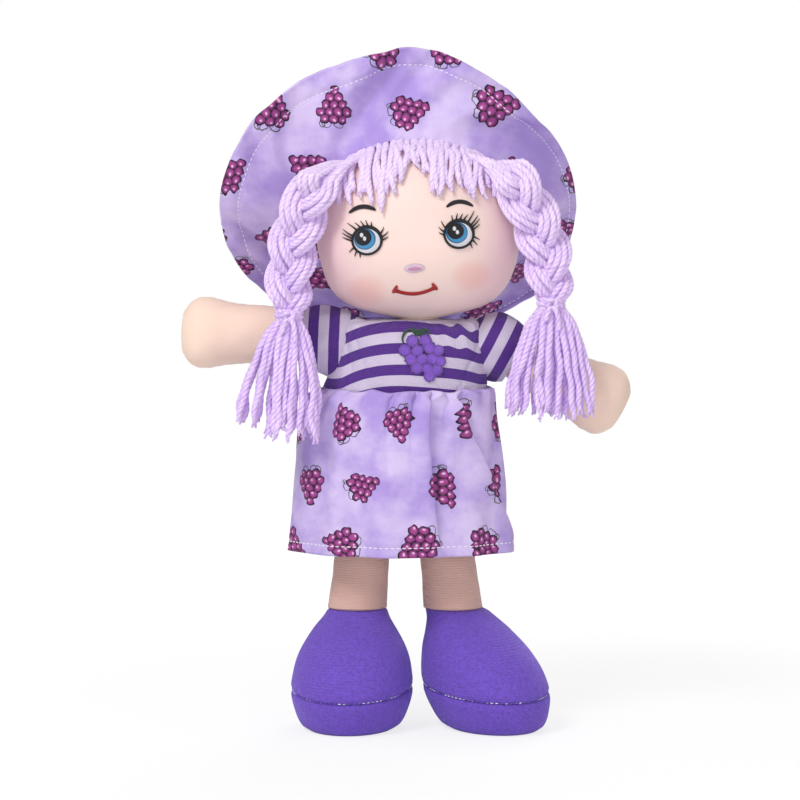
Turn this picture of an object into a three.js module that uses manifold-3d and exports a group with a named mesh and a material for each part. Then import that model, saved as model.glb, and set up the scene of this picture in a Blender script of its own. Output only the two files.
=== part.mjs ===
// Rag doll with a sun hat, yarn braids, striped shirt and printed skirt.
// Millimetres, +Z up, the doll faces -Y. "right" and "left" are the doll's own: its right is -X.

import * as THREE from 'three';
import { mergeVertices } from 'three/addons/utils/BufferGeometryUtils.js';
import Module from 'manifold-3d';

const wasm = await Module();
wasm.setup();

// Heights above the floor
const hipHeight = 116;
const ankleHeight = 52.3;
const shoulderHeight = 172;
const waistHeight = 150.5;
const hemHeight = 78;
const torsoTopHeight = 176;
const neckHeight = 183;
const headBottomHeight = 181;
const headTopHeight = 260.5;

// Body
const torsoCentreX = -1.5;
const waistCentreX = -4.5;
const armpitHeight = 163;
const torsoHalfWidth = 35.2;
const torsoHalfDepth = 23.4;
const neckRadius = 9.7;
const neckCutDepth = 6.5;
const torsoOpeningRadius = 6.8;
const headCentreX = 1.3;
const headHalfWidth = 44.3;
const headHalfDepth = 33;

// Limbs
const armReach = 32.5;
const armForward = 3;
const armLength = 70;
const armDomeRadius = 8.5;
const armHalfWidth = 15.8;
const armHalfDepth = 13.2;
const rightArmRise = THREE.MathUtils.degToRad(2);
const leftArmRise = THREE.MathUtils.degToRad(-28);
const armOpeningRadius = 3.4;
const legHalfWidth = 12.2;
const hipSeamRadius = 1.2;
const hipSeamHalfLength = 10.5;
const rightHipX = -20;
const leftHipX = 10;
const rightAnkleX = -25.5;
const leftAnkleX = 17;

// Shoes
const shoeHalfWidth = 26.7;
const shoeHalfLength = 33.24;
const shoeForward = 8.24;
const toeSeamHeight = 15;
const toeSeamRise = 6;
const rightShoeX = -27;
const leftShoeX = 31.5;
const rightShoeTurn = THREE.MathUtils.degToRad(-8);
const leftShoeTurn = THREE.MathUtils.degToRad(22);
const seamThreadRadius = 0.5;

// Cloth and clearances
const skinThickness = 1;
const clothThickness = 1.2;
const gap = 0.3;
const facetGap = 0.5;

// Shirt and skirt
const bodiceBottomHeight = 148.5;
const bodiceTopHeight = 178.8;
const bodiceHalfWidth = 36.4;
const bodiceHalfDepth = 25.6;
const armholeRadius = 10.3;
const armholeDrop = 2;
const sleeveStart = 2;
const sleeveEnd = 15;
const sleeveShoulderRadius = 13.8;
const sleeveCuffRadius = 15.2;
const sleeveDroop = 1.2;
const elasticHeight = 7;
const elasticThickness = 0.8;
const skirtHemHalfWidth = 50;
const skirtHemHalfDepth = 36;
const skirtLean = 1;
const skirtBellyDepth = 3;
const gatherDepth = 0.35;
const foldDepth = 2.6;
const pleatDepth = 3;
const hemStitchRise = 4.4;

// Grape patch
const patchX = 3;
const patchHeight = 165;
const patchHalfHeight = 9;
const berryRadius = 3.3;
const berryPitch = 4.7;
const berryThickness = 1.3;
const leafThickness = 0.7;

// Face, set out in its own slightly tilted frame
const faceCentreX = -1.1;
const faceCentreHeight = 217.5;
const faceTilt = THREE.MathUtils.degToRad(4);
const eyeSpacing = 20.2;
const eyeHalfWidth = 6.5;
const eyeHalfHeight = 6.8;
const irisRadius = 4.6;
const pupilRadius = 2.9;
const eyeRimWidth = 1;
const browSpacing = 21.4;
const browRise = 13;
const browHalfWidth = 5.8;
const browThickness = 1.6;
const noseDrop = 15;
const noseHalfWidth = 4.5;
const noseHalfHeight = 1.9;
const mouthDrop = 24;
const mouthHalfWidth = 10;
const mouthSag = 3.2;
const mouthThickness = 1.6;
const threadHeight = 0.6;

// Hair
const yarnRadius = 2;
const fringeHalfWidth = 25.5;
const fringeLength = 24;
const fringeBandDepth = 6.5;
const braidHalfWidth = 10.4;
const braidHalfDepth = 8;
const tieRingRadius = 7.2;
const tieYarnRadius = 1.9;
const tasselHalfWidth = 16;
const tasselHalfDepth = 8.2;
const rootForward = 27;
const rightRootX = -36;
const rightRootHeight = 247;
const rightBraidBow = 3.4;
const leftRootX = 34;
const leftRootHeight = 249;
const leftBraidBow = 5.6;
const braidHug = 4;
const rightTieX = -51;
const rightTieHeight = 183;
const leftTieX = 59;
const leftTieHeight = 189.5;
const tieForward = 24;
const rightTasselLean = 6;
const rightTasselDrop = 54;
const leftTasselDrop = 51;

// Hat
const hatCentreX = 0.6;
const hatCentreY = 5;
const hatCentreHeight = 222;
const hatTilt = THREE.MathUtils.degToRad(62);
const crownHalfWidth = 48.4;
const crownHalfHeight = 42;
const crownDepth = 36;
const hatThickness = 1.5;
const brimCentreX = -6.6;
const brimCentreHeight = 229;
const brimHalfWidth = 79.7;
const brimUpperHeight = 70;
const brimLowerHeight = 60;
const brimForward = 19;
const brimSweep = 69;
const brimTurnBack = 27;
const brimWave = 2;
const brimBulge = 3;
const topstitchInset = 6.5;
const topstitchRadius = 0.5;

// Facet counts
const headCount = 24;
const bodyCount = 18;
const limbCount = 12;
const shoeCount = 16;
const clothCount = 24;
const skirtCount = 60;
const brimCount = 48;
const crownCount = 24;
const insideCount = 12;
const neckStepCount = 6;
const fillingCount = 16;
const threadSideCount = 3;
const yarnSideCount = 4;
const eyeCount = 12;
const berryCount = 8;
const tieCount = 12;

const fullTurn = 2 * Math.PI;
const doll = new THREE.Group();
doll.name = 'rag_doll';

// Materials

const paint = (color, roughness) => new THREE.MeshStandardMaterial({ color, roughness, metalness: 0 });
const faceSkin = () => paint('#f3cdb4', 0.55);
const velourSkin = () => paint('#d9b79a', 0.9);
const stuffing = () => paint('#f4f1ea', 1);
const printedCotton = () => paint('#b7a0d6', 0.85);
const stripedJersey = () => paint('#7d4a9c', 0.9);
const violetVelvet = () => paint('#6a4fb0', 0.95);
const hairYarn = () => paint('#d8c2de', 0.95);
const whiteThread = () => paint('#efeaf4', 0.7);
const blackThread = () => paint('#15131c', 0.5);
const blueThread = () => paint('#2f6fb5', 0.5);
const redThread = () => paint('#8f2b33', 0.5);
const pinkThread = () => paint('#e58f8f', 0.5);
const berryThread = () => paint('#8a3f9e', 0.4);
const leafThread = () => paint('#25503a', 0.5);
const elasticCloth = () => paint('#e9e6df', 0.8);

// Small geometry helpers

const vec = (x, y, z) => new THREE.Vector3(x, y, z);
const lerp = THREE.MathUtils.lerp;
const clamp = THREE.MathUtils.clamp;

// Smooth value of a table at a share of its length. The first list holds the shares, rising.
function tableAt(shares, values, share) {
  const last = shares.length - 1;
  let i = 0;
  while (i < last - 1 && share > shares[i + 1]) {
    i += 1;
  }
  const slope = (k) => {
    const from = Math.max(k - 1, 0);
    const to = Math.min(k + 1, last);
    return (values[to] - values[from]) / (shares[to] - shares[from]);
  };
  const span = shares[i + 1] - shares[i];
  const t = clamp((share - shares[i]) / span, 0, 1);
  const rise = values[i + 1] - values[i];
  const limit = 3 * Math.abs(rise);
  const start = clamp(slope(i) * span, -limit, limit);
  const end = clamp(slope(i + 1) * span, -limit, limit);
  return values[i] + t * start + t * t * (3 * rise - 2 * start - end) + t ** 3 * (start + end - 2 * rise);
}

// One closed ring of points, a superellipse with two half sizes along two directions.
function ring(centre, across, along, halfAcross, halfAlong, count, squareness = 2) {
  return Array.from({ length: count }, (_, i) => {
    const angle = (i / count) * fullTurn;
    const c = Math.cos(angle);
    const s = Math.sin(angle);
    return centre.clone()
      .addScaledVector(across, Math.sign(c) * Math.abs(c) ** (2 / squareness) * halfAcross)
      .addScaledVector(along, Math.sign(s) * Math.abs(s) ** (2 / squareness) * halfAlong);
  });
}

function middleOf(points) {
  const middle = vec(0, 0, 0);
  points.forEach((point) => middle.add(point));
  return middle.divideScalar(points.length);
}

function geometryOf(points, triangles) {
  const volume = triangles.reduce((sum, [a, b, c]) => (
    sum + points[a].dot(points[b].clone().cross(points[c]))
  ), 0);
  const outward = volume > 0 ? triangles : triangles.map(([a, b, c]) => [a, c, b]);
  const geometry = new THREE.BufferGeometry();
  const flat = points.flatMap((point) => point.toArray());
  geometry.setAttribute('position', new THREE.Float32BufferAttribute(flat, 3));
  geometry.setIndex(outward.flat());
  return geometry;
}

// Skins rings of equal count: as a closed loop of rings, or with a point that closes each end.
function skinned(rings, asLoop = false) {
  const count = rings[0].length;
  const points = rings.flat();
  const triangles = [];
  const bands = asLoop ? rings.length : rings.length - 1;
  for (let band = 0; band < bands; band += 1) {
    const here = band * count;
    const next = ((band + 1) % rings.length) * count;
    for (let i = 0; i < count; i += 1) {
      const j = (i + 1) % count;
      const oneWay = points[here + i].distanceTo(points[next + j]);
      const otherWay = points[here + j].distanceTo(points[next + i]);
      if (oneWay <= otherWay) {
        triangles.push([here + i, here + j, next + j], [here + i, next + j, next + i]);
      } else {
        triangles.push([here + i, here + j, next + i], [here + j, next + j, next + i]);
      }
    }
  }
  if (!asLoop) {
    const last = (rings.length - 1) * count;
    const startPole = points.push(middleOf(rings[0])) - 1;
    const endPole = points.push(middleOf(rings.at(-1))) - 1;
    for (let i = 0; i < count; i += 1) {
      const j = (i + 1) % count;
      triangles.push([startPole, j, i], [endPole, last + i, last + j]);
    }
  }
  return geometryOf(points, triangles);
}

// A tube of a few sides along points, closed into a loop or with closed ends.
function tube(points, radiusAt, sides, outwardAt, asLoop = false) {
  const last = points.length - 1;
  const rings = points.map((point, i) => {
    const before = points[asLoop ? (i + last) % points.length : Math.max(i - 1, 0)];
    const after = points[asLoop ? (i + 1) % points.length : Math.min(i + 1, last)];
    const forward = after.clone().sub(before).normalize();
    const outward = outwardAt(point, i);
    const sideways = forward.clone().cross(outward).normalize();
    const lifted = sideways.clone().cross(forward).normalize();
    const radius = radiusAt(i / last);
    return ring(point, sideways, lifted, radius, radius, sides);
  });
  return skinned(rings, asLoop);
}

function solidOf(geometry) {
  const bare = geometry.clone();
  ['normal', 'uv'].forEach((name) => bare.deleteAttribute(name));
  const merged = mergeVertices(bare);
  return new wasm.Manifold(new wasm.Mesh({
    numProp: 3,
    vertProperties: Float32Array.from(merged.attributes.position.array),
    triVerts: Uint32Array.from(merged.index.array),
  }));
}

function geometryFrom(solid) {
  const mesh = solid.getMesh();
  const geometry = new THREE.BufferGeometry();
  geometry.setAttribute('position', new THREE.Float32BufferAttribute(mesh.vertProperties, 3));
  geometry.setIndex(Array.from(mesh.triVerts));
  return geometry;
}

const cut = (geometry, ...tools) => geometryFrom(
  tools.reduce((solid, tool) => solid.subtract(solidOf(tool)), solidOf(geometry)),
);
const joined = (...geometries) => geometryFrom(
  geometries.slice(1).reduce((solid, other) => solid.add(solidOf(other)), solidOf(geometries[0])),
);

function ball(centre, radius, count = fillingCount) {
  const geometry = new THREE.SphereGeometry(radius, count, count / 2);
  geometry.rotateX(Math.PI / 2);
  geometry.translate(centre.x, centre.y, centre.z);
  return geometry;
}

function addPiece(name, geometry, material) {
  const mesh = new THREE.Mesh(geometry, material);
  mesh.name = name;
  doll.add(mesh);
}

const acrossX = vec(1, 0, 0);
const alongY = vec(0, 1, 0);
const upZ = vec(0, 0, 1);

// Head: its half sizes at a share of its height

const headHeightShares = [0, 0.06, 0.14, 0.26, 0.385, 0.52, 0.65, 0.77, 0.87, 0.95, 0.99];
const headWidthShares = [0.24, 0.64, 0.84, 0.95, 1, 0.985, 0.93, 0.81, 0.64, 0.41, 0.2];
const headDepthShares = [0.32, 0.55, 0.76, 0.93, 1, 0.99, 0.93, 0.81, 0.64, 0.42, 0.2];
const headSquarePower = 2.2;
const edgeShare = 0.98;

function headSizeAt(height, lift = 0) {
  const share = (height - headBottomHeight) / (headTopHeight - headBottomHeight);
  return {
    halfWidth: tableAt(headHeightShares, headWidthShares, share) * headHalfWidth + lift,
    halfDepth: tableAt(headHeightShares, headDepthShares, share) * headHalfDepth + lift,
  };
}

function headRing(height, lift, count, drop = 0) {
  const { halfWidth, halfDepth } = headSizeAt(height, lift);
  const centre = vec(headCentreX, 0, height - drop);
  return ring(centre, acrossX, alongY, halfWidth, halfDepth, count, headSquarePower);
}

const headHeights = headHeightShares.map((share) => lerp(headBottomHeight, headTopHeight, share));

// Every second ring of the head, smaller by an inset, with its top lowered by a drop.
function insideHead(inset, drop) {
  const heights = headHeights.filter((_, i) => i % 2 === 0);
  const last = heights.length - 1;
  return heights.map((height, i) => headRing(height, -inset, headCount, i === last ? drop : 0));
}

// The whole head as a solid that is larger by a lift all round.
function headForm(lift) {
  const rings = headHeights.map((height) => headRing(height, lift, headCount));
  rings.unshift(headRing(headBottomHeight, lift / 2, headCount, lift));
  rings.push(headRing(headHeights.at(-1), lift / 2, headCount, -lift));
  return skinned(rings);
}

function headDepthAt(x, height) {
  const { halfWidth, halfDepth } = headSizeAt(height);
  const side = clamp(Math.abs((x - headCentreX) / halfWidth), 0, edgeShare);
  return halfDepth * (1 - side ** headSquarePower) ** (1 / headSquarePower);
}

// A point on the front of the head, raised off it by a lift.
function headFront(x, height, lift) {
  const step = skinThickness / 2;
  const acrossSlope = (headDepthAt(x + step, height) - headDepthAt(x - step, height)) / (2 * step);
  const upSlope = (headDepthAt(x, height + step) - headDepthAt(x, height - step)) / (2 * step);
  const normal = vec(-acrossSlope, -1, -upSlope).normalize();
  return vec(x, -headDepthAt(x, height), height).addScaledVector(normal, lift);
}

const neckCentre = vec(headCentreX, 0, neckHeight);

function makeHead() {
  const outer = headHeights.map((height) => headRing(height, 0, headCount)).reverse();
  addPiece('head_skin', skinned([...outer, ...insideHead(skinThickness, skinThickness)]), faceSkin());
  const inset = skinThickness + facetGap;
  const body = skinned(insideHead(inset, 2 * inset));
  addPiece('head_filling', cut(body, ball(neckCentre, neckRadius + facetGap)), stuffing());
}

function makeNeck() {
  const ballRings = (radius) => Array.from({ length: neckStepCount }, (_, i) => {
    const lowest = -Math.asin(neckCutDepth / radius);
    const angle = lerp(lowest, Math.PI / 2, i / neckStepCount);
    const centre = neckCentre.clone().addScaledVector(upZ, Math.sin(angle) * radius);
    return ring(centre, acrossX, alongY, Math.cos(angle) * radius, Math.cos(angle) * radius, insideCount);
  });
  const outer = ballRings(neckRadius);
  const inner = ballRings(neckRadius - skinThickness);
  addPiece('neck_skin', skinned([...outer.reverse(), ...inner]), faceSkin());
  const filling = ballRings(neckRadius - skinThickness - gap - facetGap);
  addPiece('neck_filling', skinned(filling), stuffing());
}

// Torso: closes to a flat seam at the hips and is open below the neck

const torsoHeightShares = [0.005, 0.1, 0.22, 0.38, 0.56, 0.67, 0.76, 0.86, 0.95, 0.99];
const torsoWidthShares = [0.8, 0.83, 0.88, 0.93, 0.965, 0.905, 0.8, 0.68, 0.655, 0.42];
const torsoDepthShares = [0.05, 0.22, 0.53, 0.86, 1, 0.98, 0.92, 0.8, 0.64, 0.45];

// Middle of the body at a height: it leans to one side from the armpits down to the waist.
function bodyCentreX(height) {
  const share = clamp((height - waistHeight) / (armpitHeight - waistHeight), 0, 1);
  return lerp(waistCentreX, torsoCentreX, share);
}

function torsoRings(inset, count, first = 0) {
  return torsoHeightShares.slice(first).map((share, i) => {
    const lift = i === 0 && first === 0 ? inset : 0;
    const height = lerp(hipHeight + hipSeamRadius + gap, torsoTopHeight, share) + lift;
    const halfWidth = torsoWidthShares[i + first] * torsoHalfWidth - inset;
    const halfDepth = Math.max(torsoDepthShares[i + first] * torsoHalfDepth - inset, gap);
    return ring(vec(bodyCentreX(height), 0, height), acrossX, alongY, halfWidth, halfDepth, count);
  });
}

function makeTorso() {
  const opening = (height) => ring(
    vec(headCentreX, 0, height), acrossX, alongY, torsoOpeningRadius, torsoOpeningRadius, bodyCount,
  );
  const outer = torsoRings(0, bodyCount);
  const inner = torsoRings(skinThickness, bodyCount, 1).reverse();
  inner.shift();
  const collar = [opening(torsoTopHeight), opening(torsoTopHeight - skinThickness)];
  const rings = [...outer, ...collar, ...inner];
  addPiece('torso_skin', skinned(rings), velourSkin());
  const filling = torsoRings(skinThickness + gap, bodyCount, 1);
  filling.pop();
  addPiece('torso_filling', skinned(filling), stuffing());
}

// Arm: a rounded inner end about the shoulder point, a straight upper part and a mitten hand

const armStepShares = [-0.1, -0.054, 0, 0.13, 0.215, 0.3, 0.43, 0.57, 0.69, 0.8, 0.89, 0.96, 0.99];
const armWidthShares = [0.305, 0.48, 0.538, 0.54, 0.67, 0.78, 0.81, 0.82, 0.88, 1, 0.98, 0.72, 0.4];
const armDepthShares = [0.365, 0.575, 0.643, 0.645, 0.76, 0.88, 0.93, 0.94, 0.95, 1, 0.95, 0.68, 0.36];

function shoulderPoint(side) {
  return vec(torsoCentreX + side * armReach, armForward, shoulderHeight);
}

function armDirection(side, rise) {
  return vec(side * Math.cos(rise), 0, Math.sin(rise));
}

// The inside of an arm takes every second ring of its outside.
const armInside = [1, 2, 4, 6, 8, 9, 10, 11, 12];

function armRings(side, rise, inset, count, steps = [...armStepShares.keys()]) {
  const forward = armDirection(side, rise);
  const across = alongY.clone().cross(forward);
  return steps.map((i) => {
    const short = i === armStepShares.length - 1 ? inset : 0;
    const centre = shoulderPoint(side).addScaledVector(forward, armStepShares[i] * armLength - short);
    const halfWidth = armWidthShares[i] * armHalfWidth - inset;
    const halfDepth = armDepthShares[i] * armHalfDepth - inset;
    return ring(centre, across, alongY, halfWidth, halfDepth, count);
  });
}

function makeArm(name, side, rise) {
  const outer = armRings(side, rise, 0, limbCount).reverse();
  const forward = armDirection(side, rise);
  const across = alongY.clone().cross(forward);
  const seamStart = (step) => ring(
    shoulderPoint(side).addScaledVector(forward, step - armDomeRadius), across, alongY,
    armOpeningRadius, armOpeningRadius, limbCount,
  );
  const inner = armRings(side, rise, skinThickness, limbCount, armInside);
  const rings = [...outer, seamStart(0), seamStart(skinThickness), ...inner];
  addPiece(`${name}_arm_skin`, skinned(rings), velourSkin());
  const filling = armRings(side, rise, skinThickness + gap, limbCount, armInside);
  addPiece(`${name}_arm_filling`, skinned(filling), stuffing());
}

// Leg: closes to a flat seam at the hip, open at the ankle

const legStepShares = [0, 0.03, 0.1, 0.2, 0.32, 0.5, 0.75, 1];
const legWidthShares = [0.9, 0.93, 0.97, 1, 1, 1, 1, 1.08];
const legDepthShares = [0.1, 0.2, 0.41, 0.68, 0.9, 1, 1, 1.08];

function legRings(hipX, ankleX, inset, count, first = 0) {
  return legStepShares.slice(first).map((share, i) => {
    const low = i + first === 1 ? inset : 0;
    const height = lerp(hipHeight - hipSeamRadius - gap, ankleHeight, share) - low;
    const halfWidth = legWidthShares[i + first] * legHalfWidth - inset;
    const halfDepth = Math.max(legDepthShares[i + first] * legHalfWidth - inset, gap);
    const centre = vec(lerp(hipX, ankleX, share), 0, height);
    return ring(centre, acrossX, alongY, halfWidth, halfDepth, count);
  });
}

function makeLeg(name, hipX, ankleX) {
  const outer = legRings(hipX, ankleX, 0, limbCount);
  const inner = legRings(hipX, ankleX, skinThickness, limbCount, 1).reverse();
  addPiece(`${name}_leg_skin`, skinned([...outer, ...inner]), velourSkin());
  const filling = legRings(hipX, ankleX, skinThickness + gap, limbCount, 1);
  addPiece(`${name}_leg_filling`, skinned(filling), stuffing());

  const ends = [-1, 1].map((end) => {
    const centre = vec(hipX + end * hipSeamHalfLength, 0, hipHeight);
    return ring(centre, alongY, upZ, hipSeamRadius, hipSeamRadius, berryCount);
  });
  addPiece(`${name}_hip_seam`, skinned(ends), velourSkin());
}

// Shoe: a stuffed bootie whose upper and sole meet at the toe seam

const shoeHeightShares = [0, 0.04, 0.14, 0.3, 0.47, 0.64, 0.82, 0.93, 1];
const shoeWidthShares = [0.78, 0.86, 0.94, 1, 0.98, 0.89, 0.7, 0.56, 0.494];
const shoeLengthShares = [0.8, 0.87, 0.94, 1, 0.96, 0.84, 0.62, 0.46, 0.388];
const shoeForwardShares = [1, 1, 1, 1, 0.95, 0.8, 0.45, 0.14, 0];
const shoeTopHeight = ankleHeight - gap;
const shoeSidePower = 0.6;
const upperShares = [0, 0.22, 0.46, 0.7, 1];
const insoleShare = 0.2;
const soleShares = [0, insoleShare, 0.6, 1];

function shoePoint(foot, angle, height, lift) {
  const share = height / shoeTopHeight;
  const halfWidth = tableAt(shoeHeightShares, shoeWidthShares, share) * shoeHalfWidth + lift;
  const halfLength = tableAt(shoeHeightShares, shoeLengthShares, share) * shoeHalfLength + lift;
  const forward = tableAt(shoeHeightShares, shoeForwardShares, share) * shoeForward;
  const shoeShare = clamp(1 - share, 0, 1) ** shoeSidePower;
  const local = vec(Math.cos(angle) * halfWidth, Math.sin(angle) * halfLength - forward, 0);
  local.applyAxisAngle(upZ, foot.turn);
  return vec(lerp(foot.ankleX, foot.shoeX, shoeShare), 0, height).add(local);
}

function shoeRing(foot, heightAt, lift) {
  return Array.from({ length: shoeCount }, (_, i) => {
    const angle = (i / shoeCount) * fullTurn;
    return shoePoint(foot, angle, heightAt(angle), lift);
  });
}

// The toe seam is lowest at the toe and rises towards the heel.
const seamHeightAt = (angle) => toeSeamHeight + (toeSeamRise * (1 + Math.sin(angle))) / 2;

function makeShoe(name, foot) {
  const innerShares = upperShares.slice().reverse();
  const upperHeight = (share) => (angle) => lerp(seamHeightAt(angle) + gap / 2, shoeTopHeight, share);
  const upper = [
    ...upperShares.map((share) => shoeRing(foot, upperHeight(share), 0)),
    ...innerShares.map((share) => shoeRing(foot, upperHeight(share), -skinThickness)),
  ];
  addPiece(`${name}_shoe_upper`, skinned(upper, true), violetVelvet());

  const soleHeight = (share) => (angle) => lerp(0, seamHeightAt(angle) - gap / 2, share);
  const insoleHeight = (share) => (angle) => lerp(skinThickness, seamHeightAt(angle) - gap / 2, share);
  const sole = [
    ...soleShares.map((share) => shoeRing(foot, soleHeight(share), 0)),
    ...[1, insoleShare].map((share) => shoeRing(foot, insoleHeight(share), -skinThickness)),
    shoeRing(foot, () => skinThickness, -2 * skinThickness),
  ];
  addPiece(`${name}_shoe_sole`, skinned(sole), violetVelvet());

  const inset = skinThickness + facetGap;
  const filling = [
    ...innerShares.map((share) => shoeRing(foot, upperHeight(share), -inset)),
    shoeRing(foot, insoleHeight(insoleShare), -inset),
    shoeRing(foot, () => skinThickness + facetGap, -inset - skinThickness),
  ];
  addPiece(`${name}_shoe_filling`, skinned(filling), stuffing());

  const route = shoeRing(foot, seamHeightAt, seamThreadRadius + facetGap);
  const middle = middleOf(route);
  const thread = tube(route, () => seamThreadRadius, threadSideCount, (p) => p.clone().sub(middle), true);
  addPiece(`${name}_shoe_seam`, thread, whiteThread());
}

// Shirt

const bodiceHeightShares = [0, 0.2, 0.4, 0.72, 0.9, 1];
const bodiceWidthShares = [1, 0.975, 0.915, 0.878, 0.713, 0.434];
const bodiceDepthShares = [1, 0.99, 0.95, 0.84, 0.69, 0.52];

function bodiceRings(lift, shares = bodiceHeightShares) {
  return shares.map((share) => {
    const height = lerp(bodiceBottomHeight, bodiceTopHeight, share);
    const halfWidth = tableAt(bodiceHeightShares, bodiceWidthShares, share) * bodiceHalfWidth + lift;
    const halfDepth = tableAt(bodiceHeightShares, bodiceDepthShares, share) * bodiceHalfDepth + lift;
    return ring(vec(bodyCentreX(height), 0, height), acrossX, alongY, halfWidth, halfDepth, clothCount);
  });
}

function makeShirt() {
  const outer = bodiceRings(0);
  const inner = bodiceRings(-clothThickness).reverse();
  const armholes = [-1, 1].map((side) => (
    ball(shoulderPoint(side).addScaledVector(upZ, -armholeDrop), armholeRadius)
  ));
  addPiece('shirt_body', cut(skinned([...outer, ...inner], true), ...armholes), stripedJersey());
}

function makeSleeve(name, side, rise) {
  const forward = armDirection(side, rise);
  const across = alongY.clone().cross(forward);
  const steps = [0, 0.5, 1];
  const wall = (lift) => steps.map((share) => {
    const step = lerp(sleeveStart, sleeveEnd, share);
    const radius = lerp(sleeveShoulderRadius, sleeveCuffRadius, share) + lift;
    const centre = shoulderPoint(side).addScaledVector(forward, step).addScaledVector(upZ, -sleeveDroop);
    return ring(centre, across, alongY, radius, radius, clothCount);
  });
  const cloth = skinned([...wall(0), ...wall(-clothThickness).reverse()], true);
  addPiece(`${name}_sleeve`, cut(cloth, skinned(bodiceRings(facetGap))), stripedJersey());
}

// A point on the front of the shirt, raised off it by a lift.
function shirtFront(x, height, lift) {
  const share = (height - bodiceBottomHeight) / (bodiceTopHeight - bodiceBottomHeight);
  const halfWidth = tableAt(bodiceHeightShares, bodiceWidthShares, share) * bodiceHalfWidth;
  const halfDepth = tableAt(bodiceHeightShares, bodiceDepthShares, share) * bodiceHalfDepth;
  const side = clamp(Math.abs((x - bodyCentreX(height)) / halfWidth), 0, edgeShare);
  return vec(x, -halfDepth * Math.sqrt(1 - side * side) - lift, height);
}

// Skirt

const skirtFlarePower = 0.45;
const pleatAngle = THREE.MathUtils.degToRad(-74);
const pleatSpread = 0.16;
const foldSlant = 0.25;
const gatherCount = 20;
const folds = [
  { count: 9, sizeShare: 0.5, turn: 0 },
  { count: 5, sizeShare: 0.3, turn: 1 },
  { count: 14, sizeShare: 0.2, turn: 2 },
];
const skirtWaistHalfWidth = bodiceHalfWidth + elasticThickness + clothThickness + 2 * facetGap;
const skirtWaistHalfDepth = bodiceHalfDepth + elasticThickness + clothThickness + 2 * facetGap;

function skirtPoint(angle, share, lift) {
  const flare = share ** skirtFlarePower;
  const pleat = Math.exp(-(((angle - fullTurn - pleatAngle) / pleatSpread) ** 2)) * pleatDepth;
  const slant = angle + foldSlant * share;
  const fold = folds.reduce((sum, { count, sizeShare, turn }) => (
    sum + sizeShare * Math.cos(count * slant + turn)
  ), 1 / 2);
  const gather = (1 + Math.cos(gatherCount * angle)) * (1 - share);
  const out = lift + share * foldDepth * fold + gatherDepth * gather + pleat * Math.min(1, 2 * share);
  const halfWidth = lerp(skirtWaistHalfWidth, skirtHemHalfWidth - foldDepth, flare) + out;
  const halfDepth = lerp(skirtWaistHalfDepth, skirtHemHalfDepth - foldDepth, flare) + out;
  const lean = skirtLean * share + skirtBellyDepth * Math.sin(Math.PI * Math.sqrt(share));
  const x = waistCentreX - lean + Math.cos(angle) * halfWidth;
  return vec(x, Math.sin(angle) * halfDepth, lerp(waistHeight, hemHeight, share));
}

function skirtRing(share, lift) {
  return Array.from({ length: skirtCount }, (_, i) => skirtPoint((i / skirtCount) * fullTurn, share, lift));
}

const skirtShares = [0, 0.08, 0.22, 0.45, 0.72, 1];

function makeSkirt() {
  const outer = skirtShares.map((share) => skirtRing(share, 0));
  const inner = skirtShares.map((share) => skirtRing(share, -clothThickness)).reverse();
  addPiece('skirt', skinned([...outer, ...inner], true), printedCotton());

  const rise = hemStitchRise / (waistHeight - hemHeight);
  const route = skirtRing(1 - rise, seamThreadRadius + facetGap);
  const middle = middleOf(route);
  const thread = tube(route, () => seamThreadRadius, threadSideCount, (p) => p.clone().sub(middle), true);
  addPiece('hem_stitch', thread, whiteThread());

  const inside = bodiceHalfWidth + facetGap;
  const insideDepth = bodiceHalfDepth + facetGap;
  const band = (height, lift) => ring(
    vec(waistCentreX, 0, height), acrossX, alongY, inside + lift, insideDepth + lift, clothCount,
  );
  const low = waistHeight - elasticHeight;
  const elastic = [
    band(waistHeight, 0), band(waistHeight, elasticThickness), band(low, elasticThickness), band(low, 0),
  ];
  addPiece('waist_elastic', skinned(elastic, true), elasticCloth());
}

// Flat pieces that lie on a curved front: a rim of points round a centre, domed a little

const domeShare = 0.5;
const stripEndShare = 0.35;

function patch(surface, centre, halfWidth, halfHeight, lift, thickness, count, hole = 0) {
  const rimPoints = (share, height) => Array.from({ length: count }, (_, i) => {
    const angle = (i / count) * fullTurn;
    const across = Math.cos(angle) * halfWidth * share;
    const up = Math.sin(angle) * halfHeight * share;
    return surface(centre.x + across, centre.z + up, height);
  });
  if (hole > 0) {
    const rings = [
      rimPoints(1, lift), rimPoints(1, lift + thickness),
      rimPoints(hole, lift + thickness), rimPoints(hole, lift),
    ];
    return skinned(rings, true);
  }
  return skinned([
    rimPoints(1, lift), rimPoints(1, lift + thickness / 2), rimPoints(domeShare, lift + thickness),
  ]);
}

// A strip that lies on a curved front and follows a row of points, thin at its ends.
function strip(surface, points, halfThickness, lift, thickness) {
  const last = points.length - 1;
  const rings = points.map(([x, z], i) => {
    const before = points[Math.max(i - 1, 0)];
    const after = points[Math.min(i + 1, last)];
    const run = new THREE.Vector2(after[0] - before[0], after[1] - before[1]).normalize();
    const wide = halfThickness * lerp(stripEndShare, 1, Math.sin((Math.PI * i) / last));
    const upper = [x - run.y * wide, z + run.x * wide];
    const lower = [x + run.y * wide, z - run.x * wide];
    return [
      surface(...upper, lift), surface(...upper, lift + thickness),
      surface(...lower, lift + thickness), surface(...lower, lift),
    ];
  });
  return skinned(rings);
}

// A place on the face: across and up in the tilted frame of the face.
function facePlace(across, up) {
  const x = across * Math.cos(faceTilt) - up * Math.sin(faceTilt);
  const z = across * Math.sin(faceTilt) + up * Math.cos(faceTilt);
  return { x: faceCentreX + x, z: faceCentreHeight + z };
}

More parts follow.
